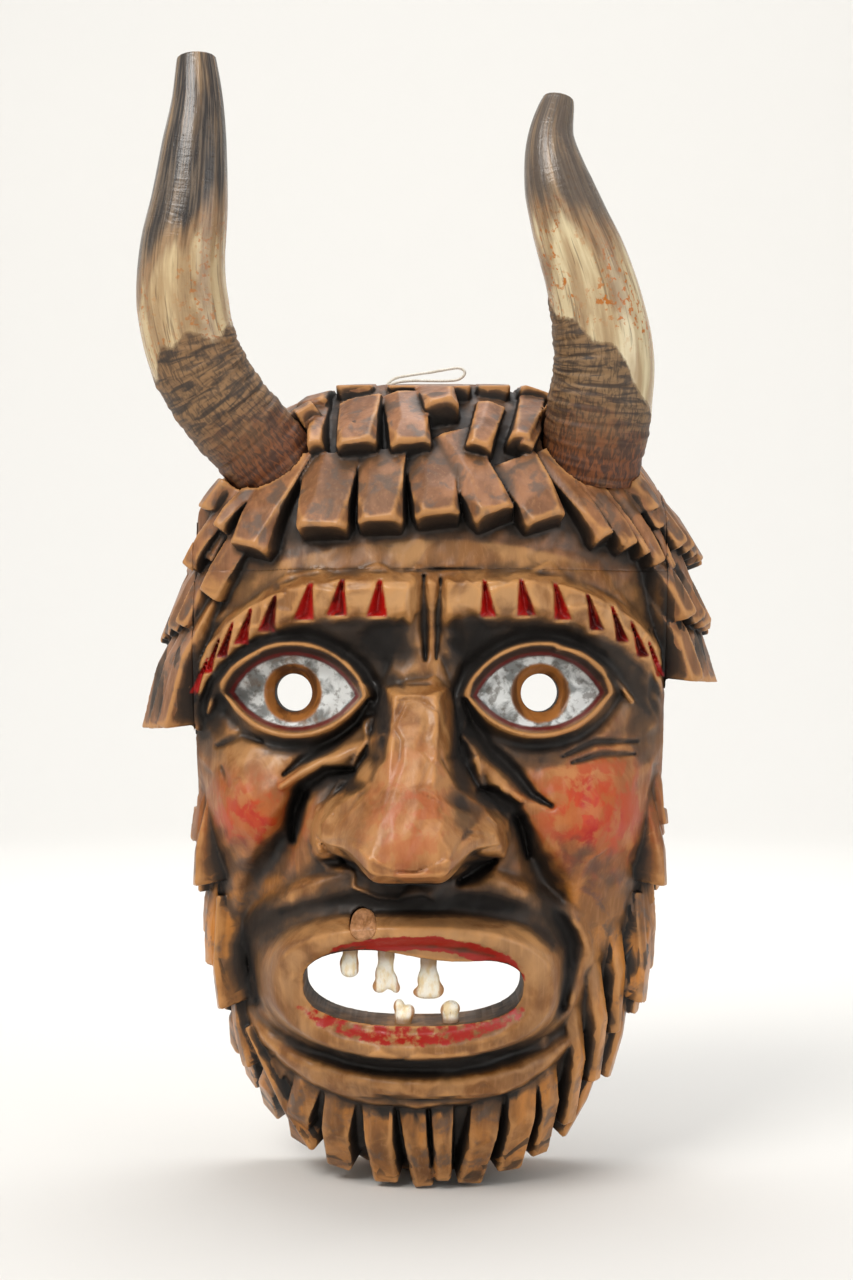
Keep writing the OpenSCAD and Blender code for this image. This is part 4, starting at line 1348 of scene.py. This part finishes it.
# ------------------------------------------------------------------ camera and light

CAMERA_AT = (-0.0023, -1.403, 0.0927)
CAMERA_LENS = 56.25


def add_camera():
    data = bpy.data.cameras.new("camera")
    data.lens = CAMERA_LENS
    camera = bpy.data.objects.new("camera", data)
    camera.location = CAMERA_AT
    camera.rotation_euler = (math.pi / 2, 0, 0)
    bpy.context.scene.collection.objects.link(camera)
    bpy.context.scene.camera = camera


def add_area_light(name, place, target, size, power, color):
    data = bpy.data.lights.new(name, "AREA")
    data.size = size
    data.energy = power
    data.color = color
    light = bpy.data.objects.new(name, data)
    light.location = place
    light.rotation_euler = (Vector(target) - Vector(place)).to_track_quat("-Z", "Y").to_euler()
    bpy.context.scene.collection.objects.link(light)


def add_studio():
    """A wide pale floor that curves up all round, and soft lights above it."""
    floor_z = cad_box[0][2] - 0.001
    rings = [(0.0, 0.0), (2.4, 0.0)]
    rings += [(2.4 + 1.6 * math.sin(a), 1.6 * (1 - math.cos(a)))
              for a in np.linspace(0.1, math.pi / 2, 12)]
    rings += [(4.0, 3.4)]
    sides = 64
    points = [(radius * math.cos(a), radius * math.sin(a), floor_z + height)
              for radius, height in rings
              for a in np.linspace(0, 2 * math.pi, sides, endpoint=False)]
    floor = new_piece("floor", points, ring_faces(len(rings), sides), closed=False)
    floor.data.materials.append(Nodes("pale_floor").finish(rgb(226, 224, 220), 0.9))
    world = bpy.data.worlds.new("world")
    world.use_nodes = True
    world.node_tree.nodes["Background"].inputs["Color"].default_value = (0.95, 0.97, 1, 1)
    world.node_tree.nodes["Background"].inputs["Strength"].default_value = 0.46
    bpy.context.scene.world = world
    middle = (0, -0.05, 0.08)
    add_area_light("key", (-1.0, -1.5, 1.7), middle, 1.1, 40, (1, 0.98, 0.95))
    add_area_light("fill", (1.7, -1.3, 0.5), middle, 1.4, 11, (0.93, 0.96, 1))
    add_area_light("top", (0.2, 0.3, 2.2), middle, 1.6, 24, (1, 1, 1))
    add_area_light("wall", (0, 0.9, 2.3), (0, 4, 0.9), 2.0, 62, (1, 1, 1))
    bpy.context.scene.view_settings.view_transform = "Standard"


# ------------------------------------------------------------------ build

def cut_plug_hole(carving):
    """The plug's hole, and the crack that opened round its upper left side."""
    px, pz = PLUG_AT
    box = (px - 14, -200, pz - 14), (px + 14, -110, pz + 14)
    carving.cut(cylinder((px, PLUG_BACK, pz), (px, -200, pz), PLUG_R, PLUG_R), *box)

    def crack(x, y, z):
        ring = np.abs(np.hypot(x - px, z - pz) - PLUG_R - 0.4) - 0.8
        return np.maximum(ring, np.maximum(x - px - 1, pz - 2 - z)) + 0 * y
    carving.cut(crack, *box)


def build_head():
    carving, base, depth = carve_head()
    x, y, z = [a.astype(np.float32) for a in carving.axes]
    x, y, z = x[:, None, None], y[None, :, None], z[None, None, :]
    stride = 2
    coarse = carving.field[::stride, ::stride, ::stride]
    coarse_axes = [a[::stride] for a in carving.axes]
    solid = np.clip(0.5 - coarse / (2 * VOXEL), 0, 1).astype(np.float32)
    cavity_fine = box_blur(solid, max(1, round(3.2 / (stride * VOXEL))))
    cavity_broad = box_blur(solid, max(2, round(10 / (stride * VOXEL))))
    cut_plug_hole(carving)
    seam = -0.6 * VOXEL    # below 0, so the blocks overlap and leave no crack between them
    wing_left = np.maximum(x + BLOCK_HALF + seam, WING_LOW_LEFT - 4 - z)
    wing_right = np.maximum(BLOCK_HALF + seam - x, WING_LOW_RIGHT - 4 - z)
    wings = np.minimum(wing_left, wing_right) - 2 * seam
    # Where the blocks overlap, the inner one steps back so that only the wing shows
    inner_block = carving.field + 0.6 * ramp(-4 * seam, -2 * seam, wings)
    face = np.maximum(inner_block, np.maximum(z - JOINT_Z + seam, -wings))
    crown = np.maximum(inner_block, np.maximum(JOINT_Z + seam - z, -wings))
    parts = [
        ("carved_face", "face_block", face, "carved_wood"),
        ("carved_crown", "crown_block", crown, "hair_wood"),
        ("carved_wing_left", "hair_wing_left", np.maximum(carving.field, wing_left), "hair_wood"),
        ("carved_wing_right", "hair_wing_right", np.maximum(carving.field, wing_right), "hair_wood"),
    ]
    wood = carved_wood("carved_wood_stain_and_shade")
    for name, node, field, slot in parts:
        piece = mesh_from_field(name, field, carving.axes)
        paint_wood(piece, carving, base, cavity_fine, cavity_broad, coarse_axes)
        stand_for(piece, node, wood)
    return depth, carving.axes


def stand_for(piece, node, material):
    piece.data.materials.append(material)
    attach(piece, BODY)
    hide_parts(node)


def dress_node(node, material):
    """A node whose shape is right keeps it and gets a better material."""
    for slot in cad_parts[node].material_slots:
        slot.material = material


def build_small_parts(depth, axes):
    left = build_horn("horn_left_grown", HORN_LEFT, HORN_R_LEFT, TAPER_LEFT, 4,
                      lambda lean: 283 + 15 * lean, lambda lean: 350 + 26 * lean)
    right = build_horn("horn_right_grown", HORN_RIGHT, HORN_R_RIGHT, TAPER_RIGHT, 9,
                       lambda lean: 279 - 34 * lean, lambda lean: 362 - 10 * lean)
    stand_for(left, "horn_left",
              horn_material("horn_left_skin", rgb(206, 184, 144), rgb(46, 45, 46),
                            rgb(136, 102, 66), 0.7))
    stand_for(right, "horn_right",
              horn_material("horn_right_skin", rgb(214, 198, 160), rgb(84, 74, 66),
                            rgb(132, 102, 68), 1.0))
    tooth = tooth_material()
    for name, blobs in TEETH.items():
        stand_for(build_tooth(name, blobs), name, tooth)
    stand_for(build_plug(depth, axes), "lip_plug", plug_material())
    peg = plain_wood("peg_wood", rgb(206, 168, 118), rgb(168, 126, 80))
    for node in ("crown_dowels", "wing_dowels", "horn_core_left", "horn_core_right"):
        dress_node(node, peg)
    steel = worn_steel()
    for node in ("horn_screws", "horn_washers", "hanger_screw_eye"):
        dress_node(node, steel)
    cord, exit_at, length = build_cord()
    stand_for(cord, "hanging_cord", cord_material())


add_camera()
add_studio()
head_depth, head_axes = build_head()
build_small_parts(head_depth, head_axes)
